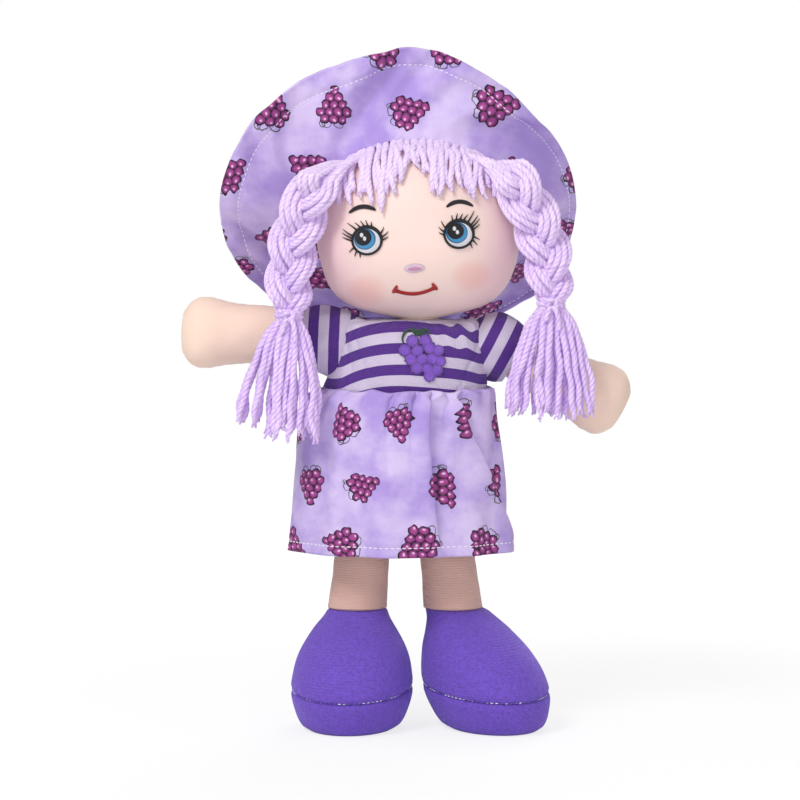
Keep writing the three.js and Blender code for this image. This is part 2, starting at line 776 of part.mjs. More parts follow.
function makeEye(name, side) {
  const centre = facePlace(side * eyeSpacing, 0);
  const count = eyeCount;
  const rimShare = 1 - eyeRimWidth / eyeHalfWidth;
  const rim = patch(headFront, centre, eyeHalfWidth, eyeHalfHeight, gap, threadHeight, count, rimShare);
  addPiece(`${name}_eye_rim`, rim, blackThread());
  const whiteHalfWidth = eyeHalfWidth * rimShare - gap;
  const whiteHalfHeight = eyeHalfHeight * rimShare - gap;
  const white = patch(headFront, centre, whiteHalfWidth, whiteHalfHeight, gap, threadHeight, count);
  addPiece(`${name}_eye_white`, white, whiteThread());
  const irisCentre = { x: centre.x - gap, z: centre.z + gap };
  const irisLift = 2 * gap + threadHeight;
  const iris = patch(headFront, irisCentre, irisRadius, irisRadius, irisLift, threadHeight, count);
  addPiece(`${name}_eye_iris`, iris, blueThread());
  const pupilLift = irisLift + threadHeight + gap;
  const pupil = patch(headFront, irisCentre, pupilRadius, pupilRadius, pupilLift, threadHeight, count);
  addPiece(`${name}_eye_pupil`, pupil, blackThread());
}

const browShares = [-1, -0.5, 0, 0.5, 1];
const mouthShares = [-1, -0.75, -0.4, 0, 0.4, 0.75, 1];

function makeBrow(name, side) {
  const places = browShares.map((share) => {
    const arch = browThickness * (1 - share * share);
    const place = facePlace(side * browSpacing + share * browHalfWidth, browRise + arch);
    return [place.x, place.z];
  });
  addPiece(`${name}_brow`, strip(headFront, places, browThickness / 2, gap, threadHeight), blackThread());
}

function makeNoseAndMouth() {
  const place = facePlace(0, -noseDrop);
  const nose = patch(headFront, place, noseHalfWidth, noseHalfHeight, gap, threadHeight, eyeCount);
  addPiece('nose', nose, pinkThread());
  const places = mouthShares.map((share) => {
    const { x, z } = facePlace(share * mouthHalfWidth, -mouthDrop - mouthSag * (1 - share * share));
    return [x, z];
  });
  addPiece('mouth', strip(headFront, places, mouthThickness / 2, gap, threadHeight), redThread());
}

// Hair

const bandStepCount = 8;
const yarnTaperShare = 0.35;
const yarnLeanTurn = 4;
const fringeLengthShares = [0.6, 0.72, 0.6, 0.75, 0.5, 0.35, 0.3, 0.4, 0.55, 0.45, 0.7, 0.75, 0.6];

function hatLineHeight(x) {
  const share = clamp((x - hatCentreX) / crownHalfWidth, -1, 1);
  return hatCentreHeight + crownHalfHeight * Math.sin(hatTilt) * Math.sqrt(1 - share * share);
}

function makeFringe() {
  const lift = 2 * gap + yarnRadius;
  const outward = (point) => vec(point.x - headCentreX, point.y, 0);
  const last = fringeLengthShares.length - 1;
  const bandPoints = Array.from({ length: bandStepCount + 1 }, (_, i) => {
    const x = headCentreX + lerp(-fringeHalfWidth, fringeHalfWidth, i / bandStepCount);
    return headFront(x, hatLineHeight(x) - fringeBandDepth, lift);
  });
  const band = tube(bandPoints, () => yarnRadius, yarnSideCount, outward);
  const yarns = fringeLengthShares.map((lengthShare, i) => {
    const x = headCentreX + lerp(-fringeHalfWidth, fringeHalfWidth, i / last);
    const points = [0, 0.5, 1].map((share) => {
      const drop = share * lengthShare * fringeLength;
      const lean = Math.sin(yarnLeanTurn * i) * yarnRadius * share;
      return headFront(x + lean, hatLineHeight(x) - fringeBandDepth - drop, lift);
    });
    return tube(points, (share) => yarnRadius * (1 - yarnTaperShare * share), yarnSideCount, outward);
  });
  addPiece('fringe', joined(band, ...yarns), hairYarn());
}

const braidTaperAtShares = [0, 0.15, 0.85, 1];
const braidTaperShares = [0.62, 1, 0.95, 0.55];
const braidPlaceShares = [0, 0.33, 0.66, 1];
const braidStepCount = 18;
const braidCrossingCount = 4;
const braidLumpShare = 0.12;
const tasselDropShares = [0, 0.06, 0.15, 0.35, 0.6, 0.85, 1];
const tasselWidthShares = [0.28, 0.3, 0.5, 0.72, 0.88, 1, 0.97];
const tasselDepthShares = [0.55, 0.58, 0.75, 0.9, 1, 1, 0.95];
const tasselFluteShare = 0.06;
const tasselFluteCount = 5;

// The braid bows outwards between its root and its tie, and lies close to the head there.
function braidCurve({ side, root, tie, bow }) {
  const points = braidPlaceShares.map((share) => {
    const out = Math.sin(Math.PI * share);
    return root.clone().lerp(tie, share).add(vec(side * bow * out, braidHug * out, 0));
  });
  return new THREE.CatmullRomCurve3(points);
}

function frameOn(curve, share) {
  const forward = curve.getTangent(share);
  const across = alongY.clone().cross(forward).normalize();
  const depth = forward.clone().cross(across).normalize();
  return { centre: curve.getPoint(share), across, depth };
}

function braidForm(curve) {
  return skinned(Array.from({ length: braidStepCount + 1 }, (_, i) => {
    const share = i / braidStepCount;
    const { centre, across, depth } = frameOn(curve, share);
    const turns = fullTurn * braidCrossingCount * share;
    const lump = 1 + braidLumpShare * Math.cos(turns);
    const taper = tableAt(braidTaperAtShares, braidTaperShares, share);
    const swing = Math.cos(turns / 2) * braidHalfWidth * braidLumpShare * Math.sin(Math.PI * share);
    centre.addScaledVector(across, swing);
    return ring(centre, across, depth, braidHalfWidth * taper * lump, braidHalfDepth * taper, insideCount);
  }));
}

function tasselForm(top, lean, drop) {
  return skinned(tasselDropShares.map((share, i) => {
    const centre = top.clone().add(vec(lean * share, 0, -gap - drop * share));
    const halfWidth = tasselWidthShares[i] * tasselHalfWidth;
    const halfDepth = tasselDepthShares[i] * tasselHalfDepth;
    const plain = ring(centre, acrossX, alongY, halfWidth, halfDepth, fillingCount);
    return plain.map((point, k) => {
      const flute = Math.cos((fullTurn * tasselFluteCount * k) / fillingCount) * tasselFluteShare * share;
      return centre.clone().lerp(point, 1 + flute);
    });
  }));
}

function makeBraid(name, braid) {
  const curve = braidCurve(braid);
  const yarns = braidForm(curve);
  addPiece(`${name}_braid`, cut(yarns, headForm(gap)), hairYarn());

  const { centre, across, depth } = frameOn(curve, 1);
  const route = ring(centre, across, depth, tieRingRadius, tieRingRadius, tieCount);
  const tie = tube(route, () => tieYarnRadius, yarnSideCount, (p) => p.clone().sub(centre), true);
  addPiece(`${name}_braid_tie`, cut(tie, yarns, headForm(gap)), hairYarn());

  const tassel = tasselForm(braid.tie, braid.tasselLean, braid.tasselDrop);
  addPiece(`${name}_tassel`, cut(tassel, tie, yarns), hairYarn());
}

// Hat: its crown sits on the back of the head, its brim stands up behind the face

const hatBack = vec(0, Math.sin(hatTilt), Math.cos(hatTilt));
const hatUp = vec(0, -Math.cos(hatTilt), Math.sin(hatTilt));
const hatCentre = vec(hatCentreX, hatCentreY, hatCentreHeight);

const crownStepShares = [0, 0.35, 0.66, 0.88, 0.97];
const crownSizeShares = [1, 0.985, 0.87, 0.62, 0.35];

function makeCrown() {
  const wall = (inset) => crownStepShares.map((share, i) => {
    const centre = hatCentre.clone().addScaledVector(hatBack, share * (crownDepth - inset));
    const size = crownSizeShares[i];
    const halfWidth = size * crownHalfWidth - inset;
    const halfHeight = size * crownHalfHeight - inset;
    return ring(centre, acrossX, hatUp, halfWidth, halfHeight, crownCount);
  });
  const cloth = skinned([...wall(0).reverse(), ...wall(hatThickness)]);
  addPiece('hat_crown', cloth, printedCotton());
}

const brimRoundPower = 1.8;
const sweepPower = 1.3;
const brimShares = [0, 0.25, 0.5, 0.78, 1];
const brimWaveCount = 5;
const brimWaveTurn = 1;

function brimPoint(angle, share) {
  const c = Math.cos(angle);
  const s = Math.sin(angle);
  const inner = hatCentre.clone()
    .addScaledVector(acrossX, c * (crownHalfWidth + facetGap))
    .addScaledVector(hatUp, s * (crownHalfHeight + facetGap));
  const power = s > 0 ? 2 / brimRoundPower : 1;
  const height = s > 0 ? brimUpperHeight : brimLowerHeight;
  const sweep = brimSweep * ((1 - s) / 2) ** sweepPower;
  const back = sweep - brimForward + brimTurnBack * Math.max(0, c) ** 2;
  const outer = vec(
    brimCentreX + Math.sign(c) * Math.abs(c) ** power * brimHalfWidth,
    back,
    brimCentreHeight + Math.sign(s) * Math.abs(s) ** power * height,
  );
  const ripple = brimWave * Math.sin(brimWaveCount * angle + brimWaveTurn) * share;
  const wave = ripple + brimBulge * Math.sin(Math.PI * share);
  return inner.lerp(outer, share).addScaledVector(hatBack, wave);
}

function brimRow(share, lift) {
  return Array.from({ length: brimCount }, (_, i) => (
    brimPoint((i / brimCount) * fullTurn, share).addScaledVector(hatBack, lift)
  ));
}

function makeBrim() {
  const front = brimShares.map((share) => brimRow(share, 0));
  const back = brimShares.map((share) => brimRow(share, hatThickness)).reverse();
  addPiece('hat_brim', skinned([...front, ...back], true), printedCotton());

  const route = Array.from({ length: brimCount }, (_, i) => {
    const angle = (i / brimCount) * fullTurn;
    const width = brimPoint(angle, 0).distanceTo(brimPoint(angle, 1));
    const lift = -topstitchRadius - facetGap;
    return brimPoint(angle, 1 - topstitchInset / width).addScaledVector(hatBack, lift);
  });
  const stitch = tube(route, () => topstitchRadius, threadSideCount, () => hatBack, true);
  addPiece('brim_stitch', stitch, whiteThread());
}

// Grape patch on the chest: rows of berries that narrow downwards, a leaf above

const berryRows = [2, 3, 3, 2, 1];
const berryRowShare = 0.8;
const stemSideShare = 0.6;
const leafWidthShare = 1.2;
const leafHeightShare = 0.7;
const tendrilShares = [0, 0.25, 0.5, 0.75, 1];
const tendrilReachShare = 2.4;
const tendrilRiseShare = 0.6;
const tendrilTurns = 0.7;

function makeGrapePatch() {
  const berries = berryRows.flatMap((inRow, row) => Array.from({ length: inRow }, (_, i) => ({
    x: patchX + (i - (inRow - 1) / 2) * berryPitch,
    z: patchHeight + patchHalfHeight / 2 - row * berryPitch * berryRowShare,
  })));
  const discs = berries.map((centre) => (
    patch(shirtFront, centre, berryRadius, berryRadius, facetGap, berryThickness, berryCount)
  ));
  addPiece('grape_berries', joined(...discs), berryThread());
  const stem = { x: patchX - berryPitch * stemSideShare, z: patchHeight + patchHalfHeight };
  const leafHalfWidth = berryPitch * leafWidthShare;
  const leafHalfHeight = berryRadius * leafHeightShare;
  const leaf = patch(shirtFront, stem, leafHalfWidth, leafHalfHeight, facetGap, leafThickness, berryCount);
  const tendrilPlaces = tendrilShares.map((share) => [
    stem.x + berryPitch * tendrilReachShare * share,
    stem.z + berryRadius * tendrilRiseShare * Math.sin(fullTurn * tendrilTurns * share),
  ]);
  const tendril = strip(shirtFront, tendrilPlaces, leafThickness, facetGap, leafThickness);
  const green = cut(joined(leaf, tendril), ...discs);
  addPiece('grape_leaf', green, leafThread());
}

makeHead();
makeNeck();
makeTorso();
makeArm('right', -1, rightArmRise);
makeArm('left', 1, leftArmRise);
makeLeg('right', rightHipX, rightAnkleX);
makeLeg('left', leftHipX, leftAnkleX);
makeShoe('right', { ankleX: rightAnkleX, shoeX: rightShoeX, turn: rightShoeTurn });
makeShoe('left', { ankleX: leftAnkleX, shoeX: leftShoeX, turn: leftShoeTurn });
makeShirt();
makeSleeve('right', -1, rightArmRise);
makeSleeve('left', 1, leftArmRise);
makeSkirt();
makeEye('right', -1);
makeEye('left', 1);
makeBrow('right', -1);
makeBrow('left', 1);
makeNoseAndMouth();
makeFringe();
makeCrown();
makeBrim();
makeGrapePatch();

makeBraid('right', {
  side: -1,
  root: vec(rightRootX, -rootForward, rightRootHeight),
  tie: vec(rightTieX, -tieForward, rightTieHeight),
  bow: rightBraidBow,
  tasselLean: -rightTasselLean,
  tasselDrop: rightTasselDrop,
});
makeBraid('left', {
  side: 1,
  root: vec(leftRootX, -rootForward, leftRootHeight),
  tie: vec(leftTieX, -tieForward, leftTieHeight),
  bow: leftBraidBow,
  tasselLean: 0,
  tasselDrop: leftTasselDrop,
});

// The origin lies under the middle of the doll, on the floor.
const bounds = new THREE.Box3().setFromObject(doll);
const middle = bounds.getCenter(vec(0, 0, 0));
doll.position.set(-middle.x, -middle.y, -bounds.min.z);

export default doll;
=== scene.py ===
"""Finish of a rag doll with a sun hat, yarn braids, a striped shirt and a printed skirt.

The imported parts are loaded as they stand. Each cloth, yarn and thread piece is then drawn in
millimetres about the doll's own middle and put in the place of the plain solid that it stands for.
"""

import math

import bmesh
import bpy
import numpy as np
from bpy.props import FloatProperty, FloatVectorProperty, IntProperty, PointerProperty
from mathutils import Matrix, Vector


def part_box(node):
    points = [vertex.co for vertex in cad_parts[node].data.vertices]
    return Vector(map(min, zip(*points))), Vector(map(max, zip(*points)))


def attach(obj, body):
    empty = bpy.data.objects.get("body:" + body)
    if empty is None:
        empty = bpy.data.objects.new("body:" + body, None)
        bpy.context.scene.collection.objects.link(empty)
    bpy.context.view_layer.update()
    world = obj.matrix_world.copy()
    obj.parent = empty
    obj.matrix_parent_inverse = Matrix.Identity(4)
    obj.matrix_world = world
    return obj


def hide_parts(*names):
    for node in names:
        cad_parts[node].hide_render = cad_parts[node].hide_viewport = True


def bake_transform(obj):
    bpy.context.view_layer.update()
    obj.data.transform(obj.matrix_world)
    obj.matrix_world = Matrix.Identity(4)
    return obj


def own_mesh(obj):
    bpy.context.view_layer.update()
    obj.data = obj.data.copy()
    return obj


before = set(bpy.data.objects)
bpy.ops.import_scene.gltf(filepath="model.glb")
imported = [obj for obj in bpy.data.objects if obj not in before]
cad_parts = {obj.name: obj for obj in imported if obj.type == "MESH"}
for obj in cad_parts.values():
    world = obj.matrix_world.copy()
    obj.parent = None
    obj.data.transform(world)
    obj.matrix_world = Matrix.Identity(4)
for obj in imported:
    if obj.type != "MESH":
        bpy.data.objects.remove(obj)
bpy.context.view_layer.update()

bl_info = {
    "name": "Rag Doll",
    "version": (1, 0, 0),
    "blender": (4, 5, 0),
    "location": "3D View > Sidebar > Rag Doll",
    "description": "Makes the cloth, yarn and thread of a rag doll round its packed parts",
    "category": "Object",
}

MM = 0.001
TURN = 2 * math.pi
HEAD_MIDDLE = sum(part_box("head_skin"), Vector()) / 2
ORIGIN = np.array([HEAD_MIDDLE.x - 1.3 * MM, HEAD_MIDDLE.y, 0.0])


# Settings


def linear(code):
    """Linear colour of a hexadecimal screen colour."""
    parts = [int(code[i : i + 2], 16) / 255 for i in (1, 3, 5)]
    return [p / 12.92 if p < 0.04045 else ((p + 0.055) / 1.055) ** 2.4 for p in parts]


def colour(name, description, code):
    """A colour setting, from a hexadecimal screen colour."""
    return FloatVectorProperty(
        name=name, description=description, subtype="COLOR", size=3, min=0, max=1,
        default=linear(code),
    )


def length(name, description, millimetres):
    """A length setting, which Blender keeps in metres."""
    return FloatProperty(
        name=name, description=description, unit="LENGTH", min=0, default=millimetres * MM
    )


class DollColours(bpy.types.PropertyGroup):
    """Colours of the doll's cloths, yarn and threads"""

    face: colour("Face", "Smooth cloth of the head", "#edd2c8")
    blush: colour("Blush", "Warm spot on each cheek", "#e8917c")
    velour: colour("Velour", "Soft cloth of the arms and torso", "#efd3bf")
    leg: colour("Legs", "Knit of the legs", "#d2aa9d")
    shoe: colour("Shoes", "Velvet of the shoes", "#6c4cba")
    cotton: colour("Cotton", "Darker ground of the printed cotton", "#a385d6")
    cotton_pale: colour("Pale cotton", "Paler ground of the printed cotton", "#d6c2ec")
    berry: colour("Berry", "Printed berries", "#a8468f")
    berry_edge: colour("Berry edge", "Shaded rim of the printed berries", "#6b1b62")
    berry_light: colour("Berry light", "Light spot on the printed berries", "#f0c4e6")
    vine: colour("Vine", "Printed stems and tendrils", "#34472f")
    ink: colour("Ink", "Printed outlines", "#150817")
    stripe: colour("Dark stripe", "Dark stripe of the jersey", "#552a8a")
    stripe_pale: colour("Pale stripe", "Pale stripe of the jersey", "#d8cce2")
    # Lit and shaded colours of the hair yarn: painted light and shade round its plies.
    yarn: colour("Yarn", "Lit side of the hair yarn", "#f8e2ff")
    yarn_painted_shade: colour("Deep yarn", "Hair yarn between its plies", "#cf9ff3")
    black: colour("Black thread", "Outlines of the eyes and brows", "#060509")
    white: colour("White thread", "Eye whites and seams", "#eceaf2")
    blue: colour("Blue thread", "Inner ring of the iris", "#4699cb")
    blue_deep: colour("Deep blue thread", "Outer ring of the iris", "#1f5f93")
    red: colour("Red thread", "Mouth", "#a81216")
    pink: colour("Pink thread", "Nose", "#dc9cbd")
    patch: colour("Patch thread", "Berries sewn on the chest", "#8750d4")
    leaf: colour("Leaf thread", "Leaf and tendrils sewn on the chest", "#1f4a34")
    elastic: colour("Elastic", "Band inside the waist", "#e9e6df")


class DollSizes(bpy.types.PropertyGroup):
    """Sizes of the doll's stripes, print, yarn and stitches"""

    stripe: length("Stripe", "Height of one stripe of the jersey", 4.6)
    bunch_spacing: length("Bunch spacing", "Distance between printed bunches", 32)
    bunch_wander: length("Bunch wander", "How far a printed bunch strays from its place", 10)
    berry_spacing: length("Berry spacing", "Distance between the berries of a printed bunch", 4.25)
    yarn_radius: length("Yarn radius", "Half the thickness of the hair yarn", 1.5)
    ply_pitch: length("Ply pitch", "Length of yarn in which a ply goes once round", 7.5)
    yarn_step: length("Yarn step", "Length of yarn between two rings of its mesh", 0.9)
    stitch: length("Stitch", "Length of a seam stitch", 2.3)
    stitch_gap: length("Stitch gap", "Distance between two seam stitches", 0.7)
    stitch_radius: length("Stitch radius", "Half the thickness of a seam thread", 0.34)
    seed: IntProperty(
        name="Seed", description="Number that sets the random choices", default=7, min=0
    )


# Node trees, written as sums


class Term:
    """A socket that can stand in a sum. Each sum adds its Math nodes to the tree."""

    def __init__(self, net, socket):
        self.net, self.socket = net, socket

    def __add__(self, other):
        return self.net.math("ADD", self, other)

    def __sub__(self, other):
        return self.net.math("SUBTRACT", self, other)

    def __rsub__(self, other):
        return self.net.math("SUBTRACT", other, self)

    def __mul__(self, other):
        return self.net.math("MULTIPLY", self, other)

    def __truediv__(self, other):
        return self.net.math("DIVIDE", self, other)

    def __rtruediv__(self, other):
        return self.net.math("DIVIDE", other, self)

    def __mod__(self, other):
        return self.net.math("FLOORED_MODULO", self, other)

    def __rmod__(self, other):
        return self.net.math("FLOORED_MODULO", other, self)

    def __abs__(self):
        return self.net.math("ABSOLUTE", self)

    def __lt__(self, other):
        return self.net.math("LESS_THAN", self, other)

    def __gt__(self, other):
        return self.net.math("GREATER_THAN", self, other)

    __radd__ = __add__
    __rmul__ = __mul__


class Net:
    """A node tree under construction."""

    def __init__(self, tree):
        self.tree = tree

    def add(self, kind, sockets=(), output=0, **settings):
        """Adds a node: its settings first, then its sockets' values or links. Gives one output."""
        node = self.tree.nodes.new(kind)
        for name, value in settings.items():
            setattr(node, name, value)
        pairs = sockets.items() if isinstance(sockets, dict) else enumerate(sockets)
        for key, value in pairs:
            if isinstance(value, Term):
                self.tree.links.new(value.socket, node.inputs[key])
            elif value is not None:
                node.inputs[key].default_value = value
        return Term(self, node.outputs[output])

    def math(self, operation, *values):
        return self.add("ShaderNodeMath", values, operation=operation)

    def floor(self, value):
        return self.math("FLOOR", value)

    def smooth(self, value, low, high):
        """0 below low, 1 above high, smooth between."""
        sockets = {"Value": value, "From Min": low, "From Max": high}
        return self.add("ShaderNodeMapRange", sockets, interpolation_type="SMOOTHSTEP")

    def vector(self, x=0.0, y=0.0, z=0.0):
        return self.add("ShaderNodeCombineXYZ", (x, y, z))

    def parts(self, vector):
        node = self.add("ShaderNodeSeparateXYZ", (vector,)).socket.node
        return [Term(self, socket) for socket in node.outputs]


class Finish(Net):
    """A material with one cloth or thread shader."""

    def __init__(self, name, sheen=0.0, sheen_tint=None, **sockets):
        self.material = FINISHES[name] = bpy.data.materials.new(f"{name}_finish")
        self.material.use_nodes = True
        super().__init__(self.material.node_tree)
        self.tree.nodes.clear()
        self.shader = self.tree.nodes.new("ShaderNodeBsdfPrincipled")
        output = self.tree.nodes.new("ShaderNodeOutputMaterial")
        self.tree.links.new(self.shader.outputs[0], output.inputs[0])
        self.shader.inputs["Sheen Weight"].default_value = sheen
        self.shader.inputs["Sheen Roughness"].default_value = 0.45
        if sheen_tint is not None:
            self.shader.inputs["Sheen Tint"].default_value = (*sheen_tint, 1)
        for key, value in sockets.items():
            self.shader.inputs[key.replace("_", " ").title()].default_value = value

    def place(self):
        """The point in the doll's frame, in metres."""
        return self.add("ShaderNodeTexCoord", output=3)

    def cloth(self):
        """The point on the flat cloth, in metres along the piece's own map."""
        return self.add("ShaderNodeTexCoord", output=2)

    def kept(self, name):
        """A number that is kept on the piece's mesh."""
        return self.add("ShaderNodeAttribute", output=2, attribute_name=name)

    def noise(self, vector, scale, detail=2.0, roughness=0.5):
        sockets = {"Vector": vector, "Scale": scale, "Detail": detail, "Roughness": roughness}
        return self.add("ShaderNodeTexNoise", sockets)

    def mix(self, share, first, second, blend="MIX"):
        """Colour between first and second, or second laid over first in another way."""
        sockets = {0: share, 6: self.rgba(first), 7: self.rgba(second)}
        return self.add("ShaderNodeMix", sockets, 2, data_type="RGBA", blend_type=blend)

    @staticmethod
    def rgba(value):
        return value if isinstance(value, Term) else (*value, 1)

    def wear(self, colour=None, roughness=None, height=None, depth=0.0002, strength=1.0):
        """Links what varies over the surface to the shader."""
        if colour is not None:
            self.tree.links.new(colour.socket, self.shader.inputs["Base Color"])
        if roughness is not None:
            self.tree.links.new(roughness.socket, self.shader.inputs["Roughness"])
        if height is not None:
            sockets = {"Height": height, "Distance": depth, "Strength": strength}
            bump = self.add("ShaderNodeBump", sockets)
            self.tree.links.new(bump.socket, self.shader.inputs["Normal"])
        return self.material


# Finishes


FINISHES = {}


def shaded(finish, base, amount, noise):
    """Base colour made a little lighter and darker by a noise."""
    dark = [c * (1 - amount) for c in base]
    light = [min(1.0, c * (1 + amount)) for c in base]
    return finish.mix(noise, dark, light)


CHEEKS = ((-21.0, 193.0), (24.4, 199.6))
CHEEK_HALF_WIDTH, CHEEK_HALF_HEIGHT = 0.0105, 0.0085


def face_cloth(colours):
    """Smooth knit with a blush on each cheek, and a painted lilac reflection and shade round the
    jaw.
    """
    finish = Finish("face_cloth", sheen=0.12, sheen_tint=linear("#fff1ea"), roughness=0.5)
    place = finish.place()
    x, y, z = finish.parts(place)
    warm = 0.0
    for across, height in CHEEKS:
        dx = (x - (ORIGIN[0] + across * MM)) * (1 / CHEEK_HALF_WIDTH)
        dz = (z - height * MM) * (1 / CHEEK_HALF_HEIGHT)
        near = 1 - finish.smooth(dx * dx + dz * dz, 0.0, 1.0)
        warm = near * (y < ORIGIN[1]) + warm
    grain = finish.noise(place, 1500, 3)
    tone = finish.noise(place, 60, 2)
    out = abs(x - (ORIGIN[0] + HEAD_X * MM))
    # Painted lilac reflection and shade, stronger towards the head's sides and chin.
    painted_jaw_shade = finish.smooth(out + (0.207 - z) * 0.35, 0.016, 0.042)
    base = finish.mix(painted_jaw_shade * 0.45, shaded(finish, colours.face, 0.03, tone), linear("#e2b7c4"))
    blushed = finish.mix(warm * 0.3 * (0.8 + 0.4 * grain), base, list(colours.blush))
    wave = TURN / 0.0005
    knit = finish.math("SINE", z * wave) * finish.math("SINE", x * wave)
    return finish.wear(blushed, 0.46 + 0.12 * grain, knit * 0.25 + grain, 0.00008, 0.5)


def velour(name, base, course=None):
    """Short-piled knit. A course height gives it the rows of a knit."""
    finish = Finish(name, sheen=0.35, sheen_tint=linear("#fff4ec"), roughness=0.85)
    place = finish.place()
    pile = finish.noise(place, 950, 3, 0.75)
    tone = finish.noise(place, 90, 2)
    height = pile
    shade = 0.5 * pile + 0.5 * tone
    if course is not None:
        z = finish.parts(place)[2]
        rows = finish.math("SINE", z * (TURN / course) + 2.4 * tone)
        height = pile + 0.25 * rows
        shade = shade + 0.07 * rows
    return finish.wear(shaded(finish, base, 0.1, shade), 0.8 + 0.15 * pile, height, 0.00025, 0.8)


def shoe_velvet(colours):
    """Velvet pile, brushed one way and the other in patches."""
    finish = Finish("shoe_velvet", sheen=0.5, sheen_tint=linear("#b9a2ff"), roughness=0.9)
    place = finish.place()
    v = finish.parts(finish.cloth())[1]
    pile = finish.noise(place, 760, 3, 0.8)
    brushed = finish.noise(place, 40, 3, 0.6)
    rows = finish.math("SINE", v * (TURN / 0.00125) + 3.0 * brushed)
    rows = rows * finish.smooth(brushed, 0.4, 0.62)
    grain = 0.75 * finish.smooth(pile, 0.3, 0.7) + 0.25 * brushed + 0.12 * rows
    base = shaded(finish, colours.shoe, 0.3, grain)
    return finish.wear(base, 0.82 + 0.14 * pile, pile + 0.2 * rows, 0.0005, 1.0)


# Distance between two rows of printed berries, as a share of that between two berries
BERRY_ROW = 0.8
# Tendrils of a printed bunch: the place and the radius of each ring
TENDRILS = ((0.7, 1.95, 0.62), (-0.6, 2.0, 0.55), (1.25, 2.2, 0.3))


def bunch_print(finish, colours, sizes, point, ground):
    """Scattered bunches of berries with stems, printed over the ground colour."""
    u, v, _ = finish.parts(point)
    pitch = sizes.bunch_spacing
    row = finish.floor(v / (pitch * 0.9))
    u = u + (row % 2.0) * (pitch / 2)
    column = finish.floor(u / pitch)
    chance = finish.add(
        "ShaderNodeTexWhiteNoise", {"Vector": finish.vector(column, row, sizes.seed)}, 1
    )
    right, up, tilt = finish.parts(chance)
    x = u - (column + 0.5) * pitch - (right - 0.5) * sizes.bunch_wander
    y = v - (row + 0.5) * (pitch * 0.9) - (up - 0.5) * sizes.bunch_wander * 0.7
    turn = tilt * TURN
    c, s = finish.math("COSINE", turn), finish.math("SINE", turn)
    wobble = finish.noise(point, 230, 1)
    scale = sizes.berry_spacing * (0.86 + 0.22 * right)
    px = (x * c + y * s) / scale + (wobble - 0.5) * 0.55
    py = (y * c - x * s) / scale + (0.5 - wobble) * 0.55 + 0.15
    body, ink, light, rim = 0.0, 0.0, 0.0, 0.0
    for shift in (0.5, 0.0):
        row_height = 2 * BERRY_ROW
        cx = finish.floor(px + shift) + (0.5 - shift)
        cy = (finish.floor(py / row_height + shift) + (0.5 - shift)) * row_height
        dx, dy = px - cx, py - cy
        far = finish.math("SQRT", dx * dx + dy * dy)
        kept = (abs(cx) < cy * 0.5 + 1.12) * (cy < 1.9)
        fruit = kept * (far < 0.45)
        hx, hy = dx + 0.1, dy - 0.12
        body = finish.math("MAXIMUM", fruit, body)
        ink = finish.math("MAXIMUM", kept * (far < 0.6), ink)
        rim = rim + fruit * finish.smooth(far, 0.16, 0.46)
        light = light + fruit * (1 - finish.smooth(hx * hx + hy * hy, 0.003, 0.03))
    vine = 0.0
    for ax, ay, radius in TENDRILS:
        dx, dy = px - ax, py - ay
        ring = abs(finish.math("SQRT", dx * dx + dy * dy) - radius)
        vine = finish.math("MAXIMUM", (ring < 0.06) * (py > 1.85), vine)
    dyed = finish.mix(vine * 0.85, ground, list(colours.vine))
    dyed = finish.mix(ink, dyed, list(colours.ink))
    dyed = finish.mix(body, dyed, list(colours.berry))
    dyed = finish.mix(rim * 0.8, dyed, list(colours.berry_edge))
    return finish.mix(light * 0.9, dyed, list(colours.berry_light))


def printed_cotton(colours, sizes):
    """Plain weave, dyed unevenly, with painted shade where the piece says so, and the bunches over
    it.
    """
    finish = Finish("printed_cotton", sheen=0.1, sheen_tint=linear("#efe4ff"), roughness=0.8)
    point = finish.cloth()
    u, v, _ = finish.parts(point)
    tone = finish.noise(point, 30, 4, 0.62)
    clouds = finish.smooth(tone, 0.34, 0.66)
    ground = finish.mix(clouds, list(colours.cotton), list(colours.cotton_pale))
    # Painted shade in a deep violet, where the piece keeps it, patchy with the clouds.
    painted_shade = finish.kept("painted_shade") * (0.75 - 0.4 * finish.smooth(tone, 0.4, 0.7))
    ground = finish.mix(painted_shade, ground, linear("#7a57be"))
    slub = finish.noise(point, 900, 2)
    wave = TURN / 0.00042
    weave = finish.math("SINE", u * wave) * finish.math("SINE", v * wave)
    threaded = finish.mix(0.07 + 0.05 * weave + 0.06 * slub, ground, linear("#f4edff"))
    dyed = bunch_print(finish, colours, sizes, point, threaded)
    return finish.wear(dyed, 0.72 + 0.16 * slub, weave + slub, 0.00008, 0.6)


def striped_jersey(colours, sizes):
    """Fine knit in stripes that run along the map, one above the other."""
    finish = Finish("striped_jersey", sheen=0.12, sheen_tint=linear("#e9dcff"), roughness=0.85)
    point = finish.cloth()
    u, v, _ = finish.parts(point)
    drift = finish.noise(point, 60, 2)
    at = v / (2 * sizes.stripe) + (drift - 0.5) * 0.06
    across = abs((at % 1.0) - 0.5)
    dark = 1 - finish.smooth(across, 0.235, 0.265)
    yarn = finish.noise(point, 1000, 2)
    wale = TURN / 0.00075
    ribs = finish.math("SINE", u * wale)
    loops = finish.math("SINE", v * wale + abs(ribs) * 1.4)
    tone = 0.5 + 0.22 * ribs + 0.16 * loops + 0.3 * (yarn - 0.5)
    deep = shaded(finish, colours.stripe, 0.22, tone)
    pale = shaded(finish, colours.stripe_pale, 0.08, tone)
    knit = finish.mix(dark, pale, deep)
    return finish.wear(knit, 0.78 + 0.14 * yarn, ribs * 0.7 + loops * 0.6 + yarn, 0.00016, 0.9)


